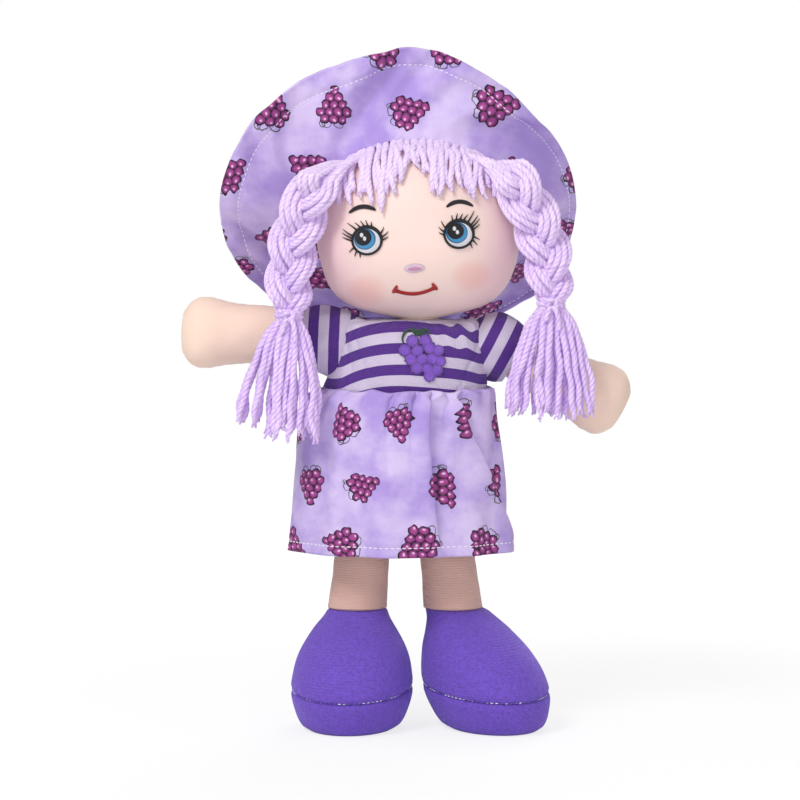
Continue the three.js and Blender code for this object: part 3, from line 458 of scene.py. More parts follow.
def hair_yarn(colours):
    """Plied yarn: its map runs along the yarn and round it, and its tint differs by yarn. Painted
    light and shade follow its plies, and it has a faint painted glow.
    """
    finish = Finish(
        "hair_yarn", sheen=0.45, sheen_tint=linear("#fff2ff"), roughness=0.8,
        # A faint violet glow: painted light that lifts the yarn's shade.
        emission_color=(*linear("#cb9ff5"), 1), emission_strength=0.13,
    )
    along, around, lobe, tint, fade = (
        finish.kept(f"yarn_{name}") for name in ("length", "around", "lobe", "tint", "fade")
    )
    strands = finish.vector(along * 420, around * 20 + along * 1900, tint * 40)
    fibre = finish.noise(strands, 1.0, 3, 0.7)
    patches = finish.noise(finish.vector(along * 70, tint * 30), 1.0, 2)
    # Painted light and shade, lighter on the plies' crests and darker between them, mixed with
    # random fibre tone.
    lit = finish.smooth(lobe * 0.7 + 2.6 * (fibre - 0.5), -1.15, 0.5)
    body = finish.mix(lit, list(colours.yarn_painted_shade), list(colours.yarn))
    violet = 0.3 * finish.smooth(patches, 0.45, 0.7) + 0.24 * tint
    tinted = finish.mix(violet, body, linear("#c9a0ee"))
    tinted = finish.mix(0.5 * fade, tinted, linear("#fff0ff"))
    bright = finish.mix(0.45 * finish.smooth(fibre, 0.45, 0.72), tinted, linear("#fdf3ff"))
    return finish.wear(bright, 0.72 + 0.2 * fibre, fibre, 0.0006, 1.0)


def thread(name, base, ridge=0.00042, roughness=0.45):
    """Embroidery thread laid side by side across the piece's map."""
    finish = Finish(name, sheen=0.15, roughness=roughness)
    u, v, _ = finish.parts(finish.cloth())
    rows = finish.math("SINE", u * (TURN / ridge))
    fibre = finish.noise(finish.vector(u, v * 0.2), 4200, 2)
    dyed = shaded(finish, base, 0.22, 0.5 + 0.28 * rows + 0.4 * (fibre - 0.5))
    return finish.wear(dyed, 0.36 + 0.2 * fibre, rows + 0.6 * fibre, 0.00012, 0.9)


def seam_thread(name, base, hidden=None):
    """Twisted sewing thread; it may sink into a pile of another colour in places."""
    finish = Finish(name, sheen=0.1, roughness=0.6)
    twist = finish.noise(finish.place(), 2200, 2)
    worn = shaded(finish, base, 0.12, twist)
    if hidden is not None:
        sunk = finish.smooth(finish.noise(finish.place(), 210, 2), 0.42, 0.56)
        worn = finish.mix(sunk, worn, hidden)
    return finish.wear(worn, 0.5 + 0.2 * twist, twist, 0.0001, 0.8)


def satin_berry(name, base):
    """Threads laid over a round pad, with painted shade: lighter on its top, darker down its sides.
    """
    finish = Finish(name, sheen=0.2, roughness=0.4)
    u, v, _ = finish.parts(finish.cloth())
    fibre = finish.noise(finish.vector(u, v * 0.25), 3600, 3, 0.7)
    clumps = finish.noise(finish.vector(u, v), 900, 2)
    rows = finish.math("SINE", u * (TURN / 0.00062) + 4.0 * clumps)
    far = finish.math("SQRT", u * u + v * v)
    # Painted shade that darkens the pad down its sides.
    side = finish.smooth(far, 0.0012, 0.0031)
    dark = [c * 0.45 for c in base]
    light = [min(1.0, c * 1.6 + 0.05) for c in base]
    tone = finish.smooth(0.5 + 0.25 * rows + 0.9 * (fibre - 0.5), 0.2, 0.9)
    dyed = finish.mix(side * 0.85, finish.mix(tone, list(base), light), dark)
    return finish.wear(dyed, 0.34 + 0.2 * fibre, rows + 0.8 * fibre, 0.0003, 1.0)


def elastic_band(colours):
    """Ribbed elastic."""
    finish = Finish("elastic_band", roughness=0.8)
    z = finish.parts(finish.place())[2]
    ribs = finish.math("SINE", z * (TURN / 0.0011))
    fleck = finish.noise(finish.place(), 900, 2)
    dyed = shaded(finish, colours.elastic, 0.12, 0.5 + 0.3 * ribs + 0.3 * (fleck - 0.5))
    return finish.wear(dyed, 0.7 + 0.2 * fleck, ribs, 0.0002, 0.8)


def make_finishes():
    """Makes every finish of the doll, once."""
    if "face_cloth" in FINISHES:
        return
    colours = bpy.context.scene.doll_colours
    sizes = bpy.context.scene.doll_sizes
    face_cloth(colours)
    velour("velour", colours.velour)
    velour("leg_knit", colours.leg, 0.0011)
    shoe_velvet(colours)
    printed_cotton(colours, sizes)
    striped_jersey(colours, sizes)
    hair_yarn(colours)
    elastic_band(colours)
    seam_thread("seam_thread", colours.white)
    for name in ("black", "white", "blue", "blue_deep", "red", "pink", "leaf"):
        thread(f"{name}_thread", getattr(colours, name))
    thread("pale_thread", linear("#f2d6e4"))
    seam_thread("toe_thread", colours.white, list(colours.shoe))
    satin_berry("patch_thread", colours.patch)


# Drawing helpers: all points are in millimetres about the doll's middle


def table(shares, values, at):
    """Smooth values of a table of given sizes, at shares of its length."""
    x, y, at = (np.asarray(numbers, float) for numbers in (shares, values, at))
    last = len(x) - 1
    i = np.clip(np.searchsorted(x, at) - 1, 0, last - 1)
    low, high = np.maximum(np.arange(last + 1) - 1, 0), np.minimum(np.arange(last + 1) + 1, last)
    slope = (y[high] - y[low]) / (x[high] - x[low])
    span = x[i + 1] - x[i]
    t = np.clip((at - x[i]) / span, 0, 1)
    rise = y[i + 1] - y[i]
    limit = 3 * np.abs(rise)
    start = np.clip(slope[i] * span, -limit, limit)
    end = np.clip(slope[i + 1] * span, -limit, limit)
    return y[i] + t * start + t * t * (3 * rise - 2 * start - end) + t**3 * (start + end - 2 * rise)


def signed_power(value, power):
    """A power that keeps the sign, which squares up or rounds off an oval."""
    return np.sign(value) * np.abs(value) ** power


def lumps(*fields, size=1.0, seed=1.0):
    """Slow, even unevenness over one or more fields, from -size to size."""
    total = 0.0
    for k, (rate, weight) in enumerate(((1.0, 0.5), (1.73, 0.3), (2.9, 0.2))):
        phase = sum(f * rate * (1 + 0.37 * n) for n, f in enumerate(fields))
        total = total + weight * np.sin(phase + seed * (k + 1) * 2.1)
    return size * total


def bump(distance, reach):
    """1 at no distance, and almost 0 beyond twice the reach."""
    return np.exp(-((distance / reach) ** 2))


def stack(x, y, z):
    """Points from their coordinates."""
    return np.stack(np.broadcast_arrays(x, y, z), -1)


def flat_map(u, v):
    """Map in metres from sizes in millimetres."""
    return np.stack(np.broadcast_arrays(u, v), -1) * MM


def rejoined(rows):
    """Rows with their first column once more at their end."""
    return np.concatenate([rows, rows[:, :1]], 1)


def round_rows(middle, right, up, angle, wide, tall):
    """Rows of points round a middle line, in the plane of two directions."""
    return (
        middle[:, None, :]
        + right * (np.cos(angle) * wide)[..., None]
        + up * (np.sin(angle) * tall)[..., None]
    )


def ring_angles(count):
    """Angles of a ring of points, in equal steps."""
    return np.linspace(0, TURN, count, endpoint=False)


def unit(vectors):
    """Vectors made one long."""
    return vectors / np.maximum(np.linalg.norm(vectors, axis=-1, keepdims=True), 1e-9)


def new_piece(name, mesh, material):
    """A smooth object of a finished mesh, in the doll's collection."""
    mesh.materials.clear()
    mesh.materials.append(FINISHES[material])
    mesh.polygons.foreach_set("use_smooth", np.ones(len(mesh.polygons), bool))
    piece = bpy.data.objects.new(name, mesh)
    bpy.context.scene.collection.objects.link(piece)
    return piece


def woven(name, rows, material, around=True, closed=(False, False), cloth=None):
    """A piece skinned over rows of points (rows, columns, 3), with an optional map in metres.

    around joins the last column to the first, and closed puts a point over the first or last row.
    """
    rows = np.asarray(rows, float)
    count, columns = rows.shape[:2]
    points = rows.reshape(-1, 3)
    wrap = columns if around else columns - 1
    first_of_row = np.arange(count - 1)[:, None]
    column = np.arange(wrap)
    a = (first_of_row * columns + column).ravel()
    b = (first_of_row * columns + (column + 1) % columns).ravel()
    faces = np.stack([a, b, b + columns, a + columns], -1).tolist()
    corners = []
    if cloth is not None:
        cloth = np.asarray(cloth, float)
        wide = cloth.shape[1]
        i = (first_of_row * wide + column).ravel()
        corners = np.stack([i, i + 1, i + 1 + wide, i + wide], -1).tolist()
    for end, row in ((0, 0), (1, count - 1)):
        if not closed[end]:
            continue
        tip = len(points)
        points = np.vstack([points, rows[row].mean(0)])
        first = row * columns
        for k in range(columns):
            face = [first + k, first + (k + 1) % columns, tip]
            faces.append(face if end else face[::-1])
            if cloth is not None:
                base = row * wide + k
                corners.append([base, base + 1, base])
    mesh = bpy.data.meshes.new(name)
    placed = points * MM + ORIGIN
    if all(closed):
        tri = np.array([f[:3] for f in faces])
        p = placed[tri] - placed.mean(0)
        if np.einsum("ij,ij->i", p[:, 0], np.cross(p[:, 1], p[:, 2])).sum() < 0:
            faces = [f[::-1] for f in faces]
            corners = [c[::-1] for c in corners]
    mesh.from_pydata(placed.tolist(), [], faces)
    if cloth is not None:
        flat = cloth.reshape(-1, 2)[np.concatenate([np.asarray(c) for c in corners])]
        mesh.uv_layers.new(name="cloth").data.foreach_set("uv", flat.ravel())
    mesh.validate()
    mesh.update()
    return new_piece(name, mesh, material)


def bag(name, rows, material):
    """A piece closed at both ends, mapped round and down its own surface."""
    return woven(name, rows, material, closed=(True, True), cloth=cloth_map(rows))


def cloth_map(rows):
    """Map of a skinned surface in metres: round its widest row, and down its length."""
    rows = np.asarray(rows, float)
    across = np.linalg.norm(np.diff(rejoined(rows), axis=1), axis=-1)
    widest = across[np.argmax(across.sum(1))]
    u = np.concatenate([[0.0], np.cumsum(widest)])
    down = np.linalg.norm(np.diff(rows, axis=0), axis=-1).mean(1)
    v = -np.concatenate([[0.0], np.cumsum(down)])
    return flat_map(u[None, :], v[:, None])


def thicken(piece, millimetres, even=True):
    """Gives a sheet its thickness inwards, by a modifier that stays live."""
    solid = piece.modifiers.new("thickness", "SOLIDIFY")
    solid.thickness = millimetres * MM
    solid.offset = -1.0
    solid.use_even_offset = even


def sure_outward(piece, centre):
    """Turns an open sheet's faces so that they point away from a middle line."""
    mesh = piece.data
    total = sum((p.center - Vector(centre(p.center))).dot(p.normal) * p.area for p in mesh.polygons)
    if total < 0:
        mesh.flip_normals()


def fix_closed(piece):
    """Merges the joined first and last rows, and points the faces outwards."""
    shell = bmesh.new()
    shell.from_mesh(piece.data)
    bmesh.ops.remove_doubles(shell, verts=shell.verts, dist=1e-7)
    bmesh.ops.recalc_face_normals(shell, faces=shell.faces)
    shell.to_mesh(piece.data)
    shell.free()


def done(piece, body, slot, *nodes):
    """Puts a piece on its body, in the place of plain nodes. Its slot is not used."""
    if body:
        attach(piece, body)
    if nodes:
        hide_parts(*nodes)


# Yarn and stitches, grown along curves


def paths_object(name, paths, radii=None):
    """A curve object with one open or closed line for each path of points."""
    curve = bpy.data.curves.new(name, "CURVE")
    curve.dimensions = "3D"
    for k, path in enumerate(paths):
        placed = np.asarray(path, float) * MM + ORIGIN
        spline = curve.splines.new("POLY")
        spline.points.add(len(placed) - 1)
        flat = np.concatenate([placed, np.ones((len(placed), 1))], 1)
        spline.points.foreach_set("co", flat.ravel())
        if radii is not None:
            spline.points.foreach_set("radius", np.asarray(radii[k], float))
    piece = bpy.data.objects.new(name, curve)
    bpy.context.scene.collection.objects.link(piece)
    return piece


def geometry_tree(name, sizes):
    """A Geometry Nodes tree that takes a geometry and named sizes, with its input and output."""
    tree = bpy.data.node_groups.new(name, "GeometryNodeTree")
    tree.interface.new_socket("Geometry", in_out="INPUT", socket_type="NodeSocketGeometry")
    for label, kind in sizes:
        tree.interface.new_socket(label, in_out="INPUT", socket_type=kind)
    tree.interface.new_socket("Geometry", in_out="OUTPUT", socket_type="NodeSocketGeometry")
    net = Net(tree)
    entry = net.tree.nodes.new("NodeGroupInput")
    inputs = {socket.name: Term(net, socket) for socket in entry.outputs if socket.name}
    return net, inputs


def finish_tree(net, geometry, inputs):
    """Ends a tree: its instances made real, smooth, and in the given material."""
    real = net.add("GeometryNodeRealizeInstances", (geometry,))
    smooth = net.add("GeometryNodeSetShadeSmooth", {"Geometry": real})
    material = {"Geometry": smooth, "Material": inputs["Material"]}
    dressed = net.add("GeometryNodeSetMaterial", material)
    output = net.tree.nodes.new("NodeGroupOutput")
    net.tree.links.new(dressed.socket, output.inputs[0])
    return net.tree


def store(net, geometry, name, value, domain="POINT"):
    """Keeps a number on the points or lines of a geometry, for the finish to read."""
    sockets = {"Geometry": geometry, "Name": name, "Value": value}
    kind = "GeometryNodeStoreNamedAttribute"
    return net.add(kind, sockets, data_type="FLOAT", domain=domain)


def evenly(net, inputs, step):
    """The given lines with points at equal steps."""
    sockets = {"Curve": inputs["Geometry"], "Length": step}
    return net.add("GeometryNodeResampleCurve", sockets, mode="LENGTH")


def yarn_tree():
    """Winds three plies along every line: a lobed ring that turns as it goes."""
    if "plied_yarn" in bpy.data.node_groups:
        return bpy.data.node_groups["plied_yarn"]
    sizes = [(name, "NodeSocketFloat") for name in ("Radius", "Ply Pitch", "Step")]
    sizes += [("Seed", "NodeSocketInt"), ("Material", "NodeSocketMaterial")]
    net, inputs = geometry_tree("plied_yarn", sizes)
    even = evenly(net, inputs, inputs["Step"])
    run = net.add("GeometryNodeSplineParameter", output=1)
    chance = {"ID": net.add("GeometryNodeInputIndex"), "Seed": inputs["Seed"]}
    tint = net.add("FunctionNodeRandomValue", chance, 1, data_type="FLOAT")
    tinted = store(net, even, "yarn_tint", tint, "CURVE")
    measured = store(net, tinted, "yarn_length", run)
    start = net.add("GeometryNodeInputNamedAttribute", {"Name": "yarn_tint"}, data_type="FLOAT")
    twist = run / inputs["Ply Pitch"] * TURN + start * 40.0
    wound = net.add("GeometryNodeSetCurveTilt", {"Curve": measured, "Tilt": twist})
    ring = {"Resolution": 15, "Radius": inputs["Radius"]}
    circle = net.add("GeometryNodeCurvePrimitiveCircle", ring)
    x, y, _ = net.parts(net.add("GeometryNodeInputPosition"))
    angle = net.math("ARCTAN2", y, x)
    marked = store(net, circle, "yarn_around", angle / TURN)
    marked = store(net, marked, "yarn_lobe", net.math("COSINE", angle * 3.0))
    swell = abs(net.math("COSINE", angle * 1.5)) * 0.2 - 0.2
    lobed = {"Geometry": marked, "Offset": net.vector(x * swell, y * swell)}
    profile = net.add("GeometryNodeSetPosition", lobed)
    thickness = net.add("GeometryNodeInputRadius")
    body = {"Curve": wound, "Profile Curve": profile, "Scale": thickness, "Fill Caps": True}
    return finish_tree(net, net.add("GeometryNodeCurveToMesh", body), inputs)


def stitch_tree():
    """Lays one small round-ended stitch after another along every line."""
    if "seam_stitches" in bpy.data.node_groups:
        return bpy.data.node_groups["seam_stitches"]
    sizes = [(name, "NodeSocketFloat") for name in ("Radius", "Stitch", "Gap")]
    net, inputs = geometry_tree("seam_stitches", [*sizes, ("Material", "NodeSocketMaterial")])
    even = evenly(net, inputs, inputs["Stitch"] + inputs["Gap"])
    tangent = net.add("GeometryNodeInputTangent")
    facing = net.add("FunctionNodeAlignRotationToVector", {"Vector": tangent}, axis="X")
    ball = net.add("GeometryNodeMeshUVSphere", {"Segments": 8, "Rings": 6, "Radius": 1.0})
    size = net.vector(inputs["Stitch"] * 0.5, inputs["Radius"], inputs["Radius"])
    stitch = net.add("GeometryNodeTransform", {"Geometry": ball, "Scale": size})
    places = {"Points": even, "Instance": stitch, "Rotation": facing}
    return finish_tree(net, net.add("GeometryNodeInstanceOnPoints", places), inputs)


def grown(name, paths, tree, sizes, material, radii=None):
    """A plain mesh piece of what a tree grows along paths."""
    line = paths_object(f"{name}_line", paths, radii)
    modifier = line.modifiers.new("grow", "NODES")
    modifier.node_group = tree
    values = {**sizes, "Material": FINISHES[material]}
    for item in tree.interface.items_tree:
        if item.in_out == "INPUT" and item.name in values:
            modifier[item.identifier] = values[item.name]
    bpy.context.view_layer.update()
    evaluated = line.evaluated_get(bpy.context.evaluated_depsgraph_get())
    mesh = bpy.data.meshes.new_from_object(evaluated)
    mesh.name = name
    curve = line.data
    bpy.data.objects.remove(line)
    bpy.data.curves.remove(curve)
    if not len(mesh.polygons):
        raise RuntimeError(f"nothing grew for {name}")
    return new_piece(name, mesh, material)


def yarns(name, paths, radii=None, thickness=1.0):
    """Hair yarns along paths, paler towards the top of the head."""
    sizes = bpy.context.scene.doll_sizes
    values = {
        "Radius": sizes.yarn_radius * thickness,
        "Ply Pitch": sizes.ply_pitch,
        "Step": sizes.yarn_step,
        "Seed": sizes.seed + len(name),
    }
    piece = grown(name, paths, yarn_tree(), values, "hair_yarn", radii)
    mark(piece, "yarn_fade", (176, 0), (250, 1))
    return piece


def mark(piece, name, low, high):
    """Keeps on a piece an attribute that runs with height between two pairs of height and value."""
    places = np.empty(len(piece.data.vertices) * 3)
    piece.data.vertices.foreach_get("co", places)
    value = np.interp(places[2::3] / MM, (low[0], high[0]), (low[1], high[1]))
    piece.data.attributes.new(name, "FLOAT", "POINT").data.foreach_set("value", value)


def stitches(name, paths, fine=1.0, material="seam_thread"):
    """Seam stitches along paths; a fine seam has smaller stitches."""
    sizes = bpy.context.scene.doll_sizes
    values = {
        "Radius": sizes.stitch_radius * fine,
        "Stitch": sizes.stitch * fine,
        "Gap": sizes.stitch_gap,
    }
    return grown(name, paths, stitch_tree(), values, material)


# Head


HEAD_LOW, HEAD_HIGH, HEAD_X = 181.0, 260.5, 1.3
HEAD_HALF_WIDTH, HEAD_HALF_DEPTH, HEAD_SQUARE, HEAD_SEAM = 44.3, 33.0, 2.2, 5.0
NECK_RADIUS, NECK_HEIGHT = 9.6, 183.0
HEAD_SHARES = (0, 0.06, 0.14, 0.26, 0.385, 0.52, 0.65, 0.77, 0.87, 0.95, 0.99)
HEAD_WIDTHS = (0.24, 0.64, 0.84, 0.95, 1, 0.985, 0.93, 0.81, 0.64, 0.41, 0.2)
HEAD_DEPTHS = (0.32, 0.55, 0.76, 0.93, 1, 0.99, 0.93, 0.81, 0.64, 0.42, 0.2)


def head_sizes(height):
    """Half width and half depth of the head at a height."""
    share = (height - HEAD_LOW) / (HEAD_HIGH - HEAD_LOW)
    return (
        table(HEAD_SHARES, HEAD_WIDTHS, share) * HEAD_HALF_WIDTH,
        table(HEAD_SHARES, HEAD_DEPTHS, share) * HEAD_HALF_DEPTH,
    )


def head_depth(x, height):
    """How far the head reaches to the front and the back at a place."""
    half_width, half_depth = head_sizes(height)
    side = np.clip(np.abs((x - HEAD_X) / half_width), 0, 0.98)
    return half_depth * (1 - side**HEAD_SQUARE) ** (1 / HEAD_SQUARE)


def head_front(x, height, lift=0.0):
    """Points on the front of the head, raised off it by a lift."""
    x, height = np.broadcast_arrays(np.asarray(x, float), np.asarray(height, float))
    step = 0.5
    across = (head_depth(x + step, height) - head_depth(x - step, height)) / (2 * step)
    up = (head_depth(x, height + step) - head_depth(x, height - step)) / (2 * step)
    normal = unit(stack(-across, -1.0, -up))
    return stack(x, -head_depth(x, height), height) + normal * np.asarray(lift, float)[..., None]


def head_rows():
    """Rows of the head from its underside to its top, with the dent of its side seam."""
    angle = ring_angles(144)
    c, s = np.cos(angle), np.sin(angle)
    shares = np.concatenate([np.linspace(0, 0.1, 14, endpoint=False), np.linspace(0.1, 0.99, 84)])
    heights = HEAD_LOW + shares * (HEAD_HIGH - HEAD_LOW)
    half_width, half_depth = head_sizes(heights)
    low = np.array([(HEAD_LOW - 0.2, 0.35), (HEAD_LOW - 0.1, 0.8)])
    top = np.array([(HEAD_HIGH - 0.42, 0.72), (HEAD_HIGH - 0.1, 0.32)])
    shrink = np.concatenate([low[:, 1], np.ones_like(heights), top[:, 1]])
    heights = np.concatenate([low[:, 0], heights, top[:, 0]])[:, None]
    half_width = np.pad(half_width, 2, "edge") * shrink
    half_depth = np.pad(half_depth, 2, "edge") * shrink
    x = signed_power(c, 2 / HEAD_SQUARE)[None, :] * half_width[:, None]
    y = signed_power(s, 2 / HEAD_SQUARE)[None, :] * half_depth[:, None]
    tucks = bump(y - HEAD_SEAM, 3.0) * np.sin(heights * 1.15)
    soft = lumps(angle[None, :] * 3, heights * 0.11, size=0.35)
    dent = bump(y - HEAD_SEAM, 0.9) - 0.16 * tucks - soft * shrink[:, None]
    ratio = 1 - dent / np.maximum(half_width, 8)[:, None]
    return stack(HEAD_X + x * ratio, y * ratio, heights)


def make_head():
    """The stuffed head, whose front the face is sewn on."""
    head = bag("head", head_rows(), "face_cloth")
    done(head, "head", "face_cloth", "head_skin", "head_filling")


def make_neck():
    """A short stuffed stub, round at both ends, under the head."""
    angle = ring_angles(48)
    steps = np.linspace(-0.72, 1.5, 22)[:, None]
    ring = NECK_RADIUS * np.cos(steps)
    height = NECK_HEIGHT + NECK_RADIUS * np.sin(steps)
    rows = stack(HEAD_X + ring * np.cos(angle), ring * np.sin(angle), height)
    neck = bag("neck", rows, "velour")
    done(neck, "neck", "velour", "neck_skin", "neck_filling")


# Face


FACE_X, FACE_HEIGHT, FACE_TILT = -1.1, 217.5, math.radians(4)
EYE_SPACING, EYE_RISE, EYE_WIDE, EYE_HIGH = 19.7, -1.2, 6.5, 6.15


def on_face(across, up, lift):
    """Points on the face, across and up in its slightly tilted frame."""
    x = FACE_X + across * math.cos(FACE_TILT) - up * math.sin(FACE_TILT)
    z = FACE_HEIGHT + across * math.sin(FACE_TILT) + up * math.cos(FACE_TILT)
    return head_front(x, z, lift)


def disc(centre, wide, high, lift, thickness, rings=7, columns=40):
    """Rows of a domed disc of thread that lies on the face, and their map."""
    angle = ring_angles(columns)
    reach = np.array([1.0, 1.0, 0.97, 0.9, *np.linspace(0.78, 0.06, rings - 1)])[:, None]
    rise = np.array([-0.5, 0.35, 0.72, 0.92, *np.full(rings - 1, 1.0)])[:, None]
    across = reach * np.cos(angle) * wide
    up = reach * np.sin(angle) * high
    rows = on_face(centre[0] + across, centre[1] + up, lift + thickness * rise + 0 * across)
    return rows, rejoined(flat_map(across, up))


def disc_piece(name, material, *args, **kwargs):
    """A disc of thread as a piece of its own."""
    rows, cloth = disc(*args, **kwargs)
    return woven(name, rows, material, closed=(True, True), cloth=cloth)


def bar(points, widths, lift, thickness, surface):
    """Rows of a rounded bar of thread along points on a curved front, and their map."""
    points, widths = np.asarray(points, float), np.asarray(widths, float)
    run = unit(np.gradient(points, axis=0))
    angle = ring_angles(8)
    off = np.cos(angle)[None, :] * widths[:, None]
    across = points[:, :1] - run[:, 1:] * off
    up = points[:, 1:] + run[:, :1] * off
    high = lift + np.sin(angle)[None, :] * np.minimum(thickness, widths[:, None] * 0.9)
    steps = np.linalg.norm(np.diff(points, axis=0), axis=1)
    cloth = flat_map(np.append(0, steps.cumsum())[:, None], np.arange(9)[None, :] * 0.3)
    return surface(across, up, high), cloth


def joined(name, pieces):
    """One piece of several, which are all in the same finish."""
    if len(pieces) > 1:
        for piece in pieces:
            piece.select_set(True)
        bpy.context.view_layer.objects.active = pieces[0]
        with bpy.context.temp_override(
            active_object=pieces[0], selected_editable_objects=pieces
        ):
            bpy.ops.object.join()
        pieces[0].select_set(False)
    pieces[0].name = pieces[0].data.name = name
    return pieces[0]


def bars(name, material, strokes, lift, thickness, surface=on_face):
    """One piece of several bars. A stroke is its points and its widths."""
    parts = []
    for k, (points, widths) in enumerate(strokes):
        rows, cloth = bar(points, widths, lift, thickness, surface)
        parts.append(woven(f"{name}_{k}", rows, material, closed=(True, True), cloth=cloth))
    return joined(name, parts)


def lash(angle, start, reach, bend):
    """One lash: from the rim of the eye outwards, thin at its tip."""
    t = np.linspace(0, 1, 6)
    out = start + reach * t
    turned = angle + bend * t
    points = np.stack([np.cos(turned) * out * EYE_WIDE, np.sin(turned) * out * EYE_HIGH], -1)
    return points, 0.46 * (1 - 0.7 * t)


# Lashes of each eye: degrees round the eye, length and bend in degrees
LASHES = {
    -1: (
        (68, 0.4, 6), (82, 0.48, 8), (96, 0.5, 8), (111, 0.55, 8), (129, 0.85, 4),
        (158, 0.85, -8), (168, 0.8, -10), (178, 0.7, -10), (205, 0.5, 6), (222, 0.45, 8),
        (238, 0.35, 8), (22, 0.5, 14), (8, 0.6, 12), (-4, 0.5, 10),
    ),
    1: (
        (112, 0.45, -6), (98, 0.5, -8), (84, 0.5, -8), (70, 0.55, -8), (50, 0.95, 4),
        (34, 0.85, 8), (24, 0.8, 10), (14, 0.6, 8), (-14, 0.5, -6), (-28, 0.5, -8),
        (-44, 0.4, -8), (152, 0.55, -14), (168, 0.5, -12), (180, 0.4, -8),
    ),
}


def eye_rim(side):
    """The black outline of an eye, thick above, with its lashes."""
    angle = np.linspace(0, TURN, 61)
    width = 0.52 + 0.3 * np.clip(np.sin(angle + 0.35), 0, 1)
    reach = 1 - width * 0.5 / EYE_WIDE
    ring = np.stack([np.cos(angle) * reach * EYE_WIDE, np.sin(angle) * reach * EYE_HIGH], -1)
    strokes = [(ring, width)]
    for turn, tall, bend in LASHES[side]:
        strokes.append(lash(math.radians(turn), 0.93, tall, math.radians(bend)))
    return [(points + [side * EYE_SPACING, EYE_RISE], widths) for points, widths in strokes]


def make_eye(name, side):
    """Rim, white, iris, pupil and lights of an eye, one disc of thread on the other."""

    def layer(label, material, centre, sizes, heights, *node, slot=None):
        piece = disc_piece(f"{name}_eye_{label}", material, centre, *sizes, *heights)
        done(piece, "head", slot or material, *node)

    middle = np.array([side * EYE_SPACING, EYE_RISE])
    rim = bars(f"{name}_eye_rim_thread", "black_thread", eye_rim(side), 0.5, 0.35)
    done(rim, "head", "black_thread", f"{name}_eye_rim")
    layer("white_thread", "white_thread", middle, (6.0, 5.7), (0.1, 0.35), f"{name}_eye_white")
    look = middle + [-0.9, 0.65]
    layer(
        "iris_thread", "blue_deep_thread", look, (4.7, 4.55), (0.35, 0.3), f"{name}_eye_iris",
        slot="blue_thread",
    )
    layer("iris_light", "blue_thread", look + [0.15, -0.25], (4.15, 3.95), (0.55, 0.22))
    layer(
        "pupil_thread", "black_thread", look + [-0.55, 0.75], (3.6, 3.5), (0.75, 0.25),
        f"{name}_eye_pupil",
    )
    lights = []
    for k, (x, y, wide, high) in enumerate(((-1.0, 1.75, 0.75, 0.95), (0.15, 0.15, 0.7, 0.95))):
        at = look + [x, y]
        light = disc_piece(
            f"{name}_light_{k}", "white_thread", at, wide, high, 0.95, 0.22, rings=4, columns=20
        )
        lights.append(light)
    done(joined(f"{name}_eye_lights", lights), "head", "white_thread")


def make_brow(name, side):
    """An arched brow, thinner at its ends and set a little unevenly."""
    t = np.linspace(-1, 1, 22)
    x = side * 20.9 + t * 5.7
    y = 10.9 - 0.4 * side + 2.1 * (1 - t * t) - 0.2 * side * t
    widths = 0.95 * (1 - np.abs(t) ** 4 * 0.6)
    brow = bars(f"{name}_brow_thread", "black_thread", [(np.stack([x, y], -1), widths)], 0.3, 0.5)
    done(brow, "head", "black_thread", f"{name}_brow")


def make_mouth():
    """A curved line with a short stroke up and one down at each corner."""
    t = np.linspace(-1, 1, 34)
    line = np.stack([-0.7 + t * 8.8, -23.3 - 2.2 * (1 - np.abs(t) ** 1.9)], -1)
    widths = 0.76 + 0.4 * np.clip((np.abs(t) - 0.8) / 0.2, 0, 1)
    tick = np.linspace(0, 1, 6)
    rise = np.stack([1.2 * tick, 1.9 * tick], -1)
    fall = np.stack([-0.8 * tick, -0.9 * tick], -1)
    strokes = [(line, widths)]
    for side in (1, -1):
        corner = np.array([-0.7 - side * 8.8, -23.4])
        strokes += [(corner + shape * [side, 1], 0.9 - 0.35 * tick) for shape in (rise, fall)]
    mouth = bars("mouth_thread", "red_thread", strokes, 0.3, 0.5)
    done(mouth, "head", "red_thread", "mouth")


def make_nose():
    """A flat oval: rim, pale filling and a darker middle."""
    middle = np.array([-0.3, -14.5])
    rim = disc_piece("nose_rim_thread", "pink_thread", middle, 4.5, 1.95, 0.02, 0.2)
    done(rim, "head", "pink_thread")
    pale = disc_piece("nose_pale_thread", "pale_thread", middle, 4.35, 1.8, 0.2, 0.25)
    done(pale, "head", "pink_thread")
    nose = disc_piece("nose_thread", "pink_thread", middle + [0.1, -0.15], 3.0, 0.8, 0.4, 0.25)
    done(nose, "head", "pink_thread", "nose")


# Torso, arms and legs


TORSO_X, WAIST_X = -1.5, -4.5
WAIST, ARMPIT, HEM = 150.5, 163.0, 78.0
TORSO_LOW, TORSO_TALL, TORSO_HALF_WIDTH, TORSO_HALF_DEPTH = 117.5, 58.5, 35.2, 23.4
TORSO_SHARES = (0.005, 0.1, 0.22, 0.38, 0.56, 0.67, 0.76, 0.86, 0.95, 0.99)
TORSO_WIDTHS = (0.8, 0.83, 0.88, 0.93, 0.965, 0.905, 0.8, 0.68, 0.655, 0.42)
TORSO_DEPTHS = (0.05, 0.22, 0.53, 0.86, 1, 0.98, 0.92, 0.8, 0.64, 0.45)
ARM_SHARES = (-0.1, -0.054, 0, 0.13, 0.215, 0.3, 0.43, 0.57, 0.69, 0.8, 0.89, 0.96, 0.99)
ARM_WIDTHS = (0.305, 0.48, 0.538, 0.54, 0.67, 0.78, 0.81, 0.82, 0.88, 1, 0.98, 0.72, 0.4)
ARM_DEPTHS = (0.365, 0.575, 0.643, 0.645, 0.76, 0.88, 0.93, 0.94, 0.95, 1, 0.95, 0.68, 0.36)
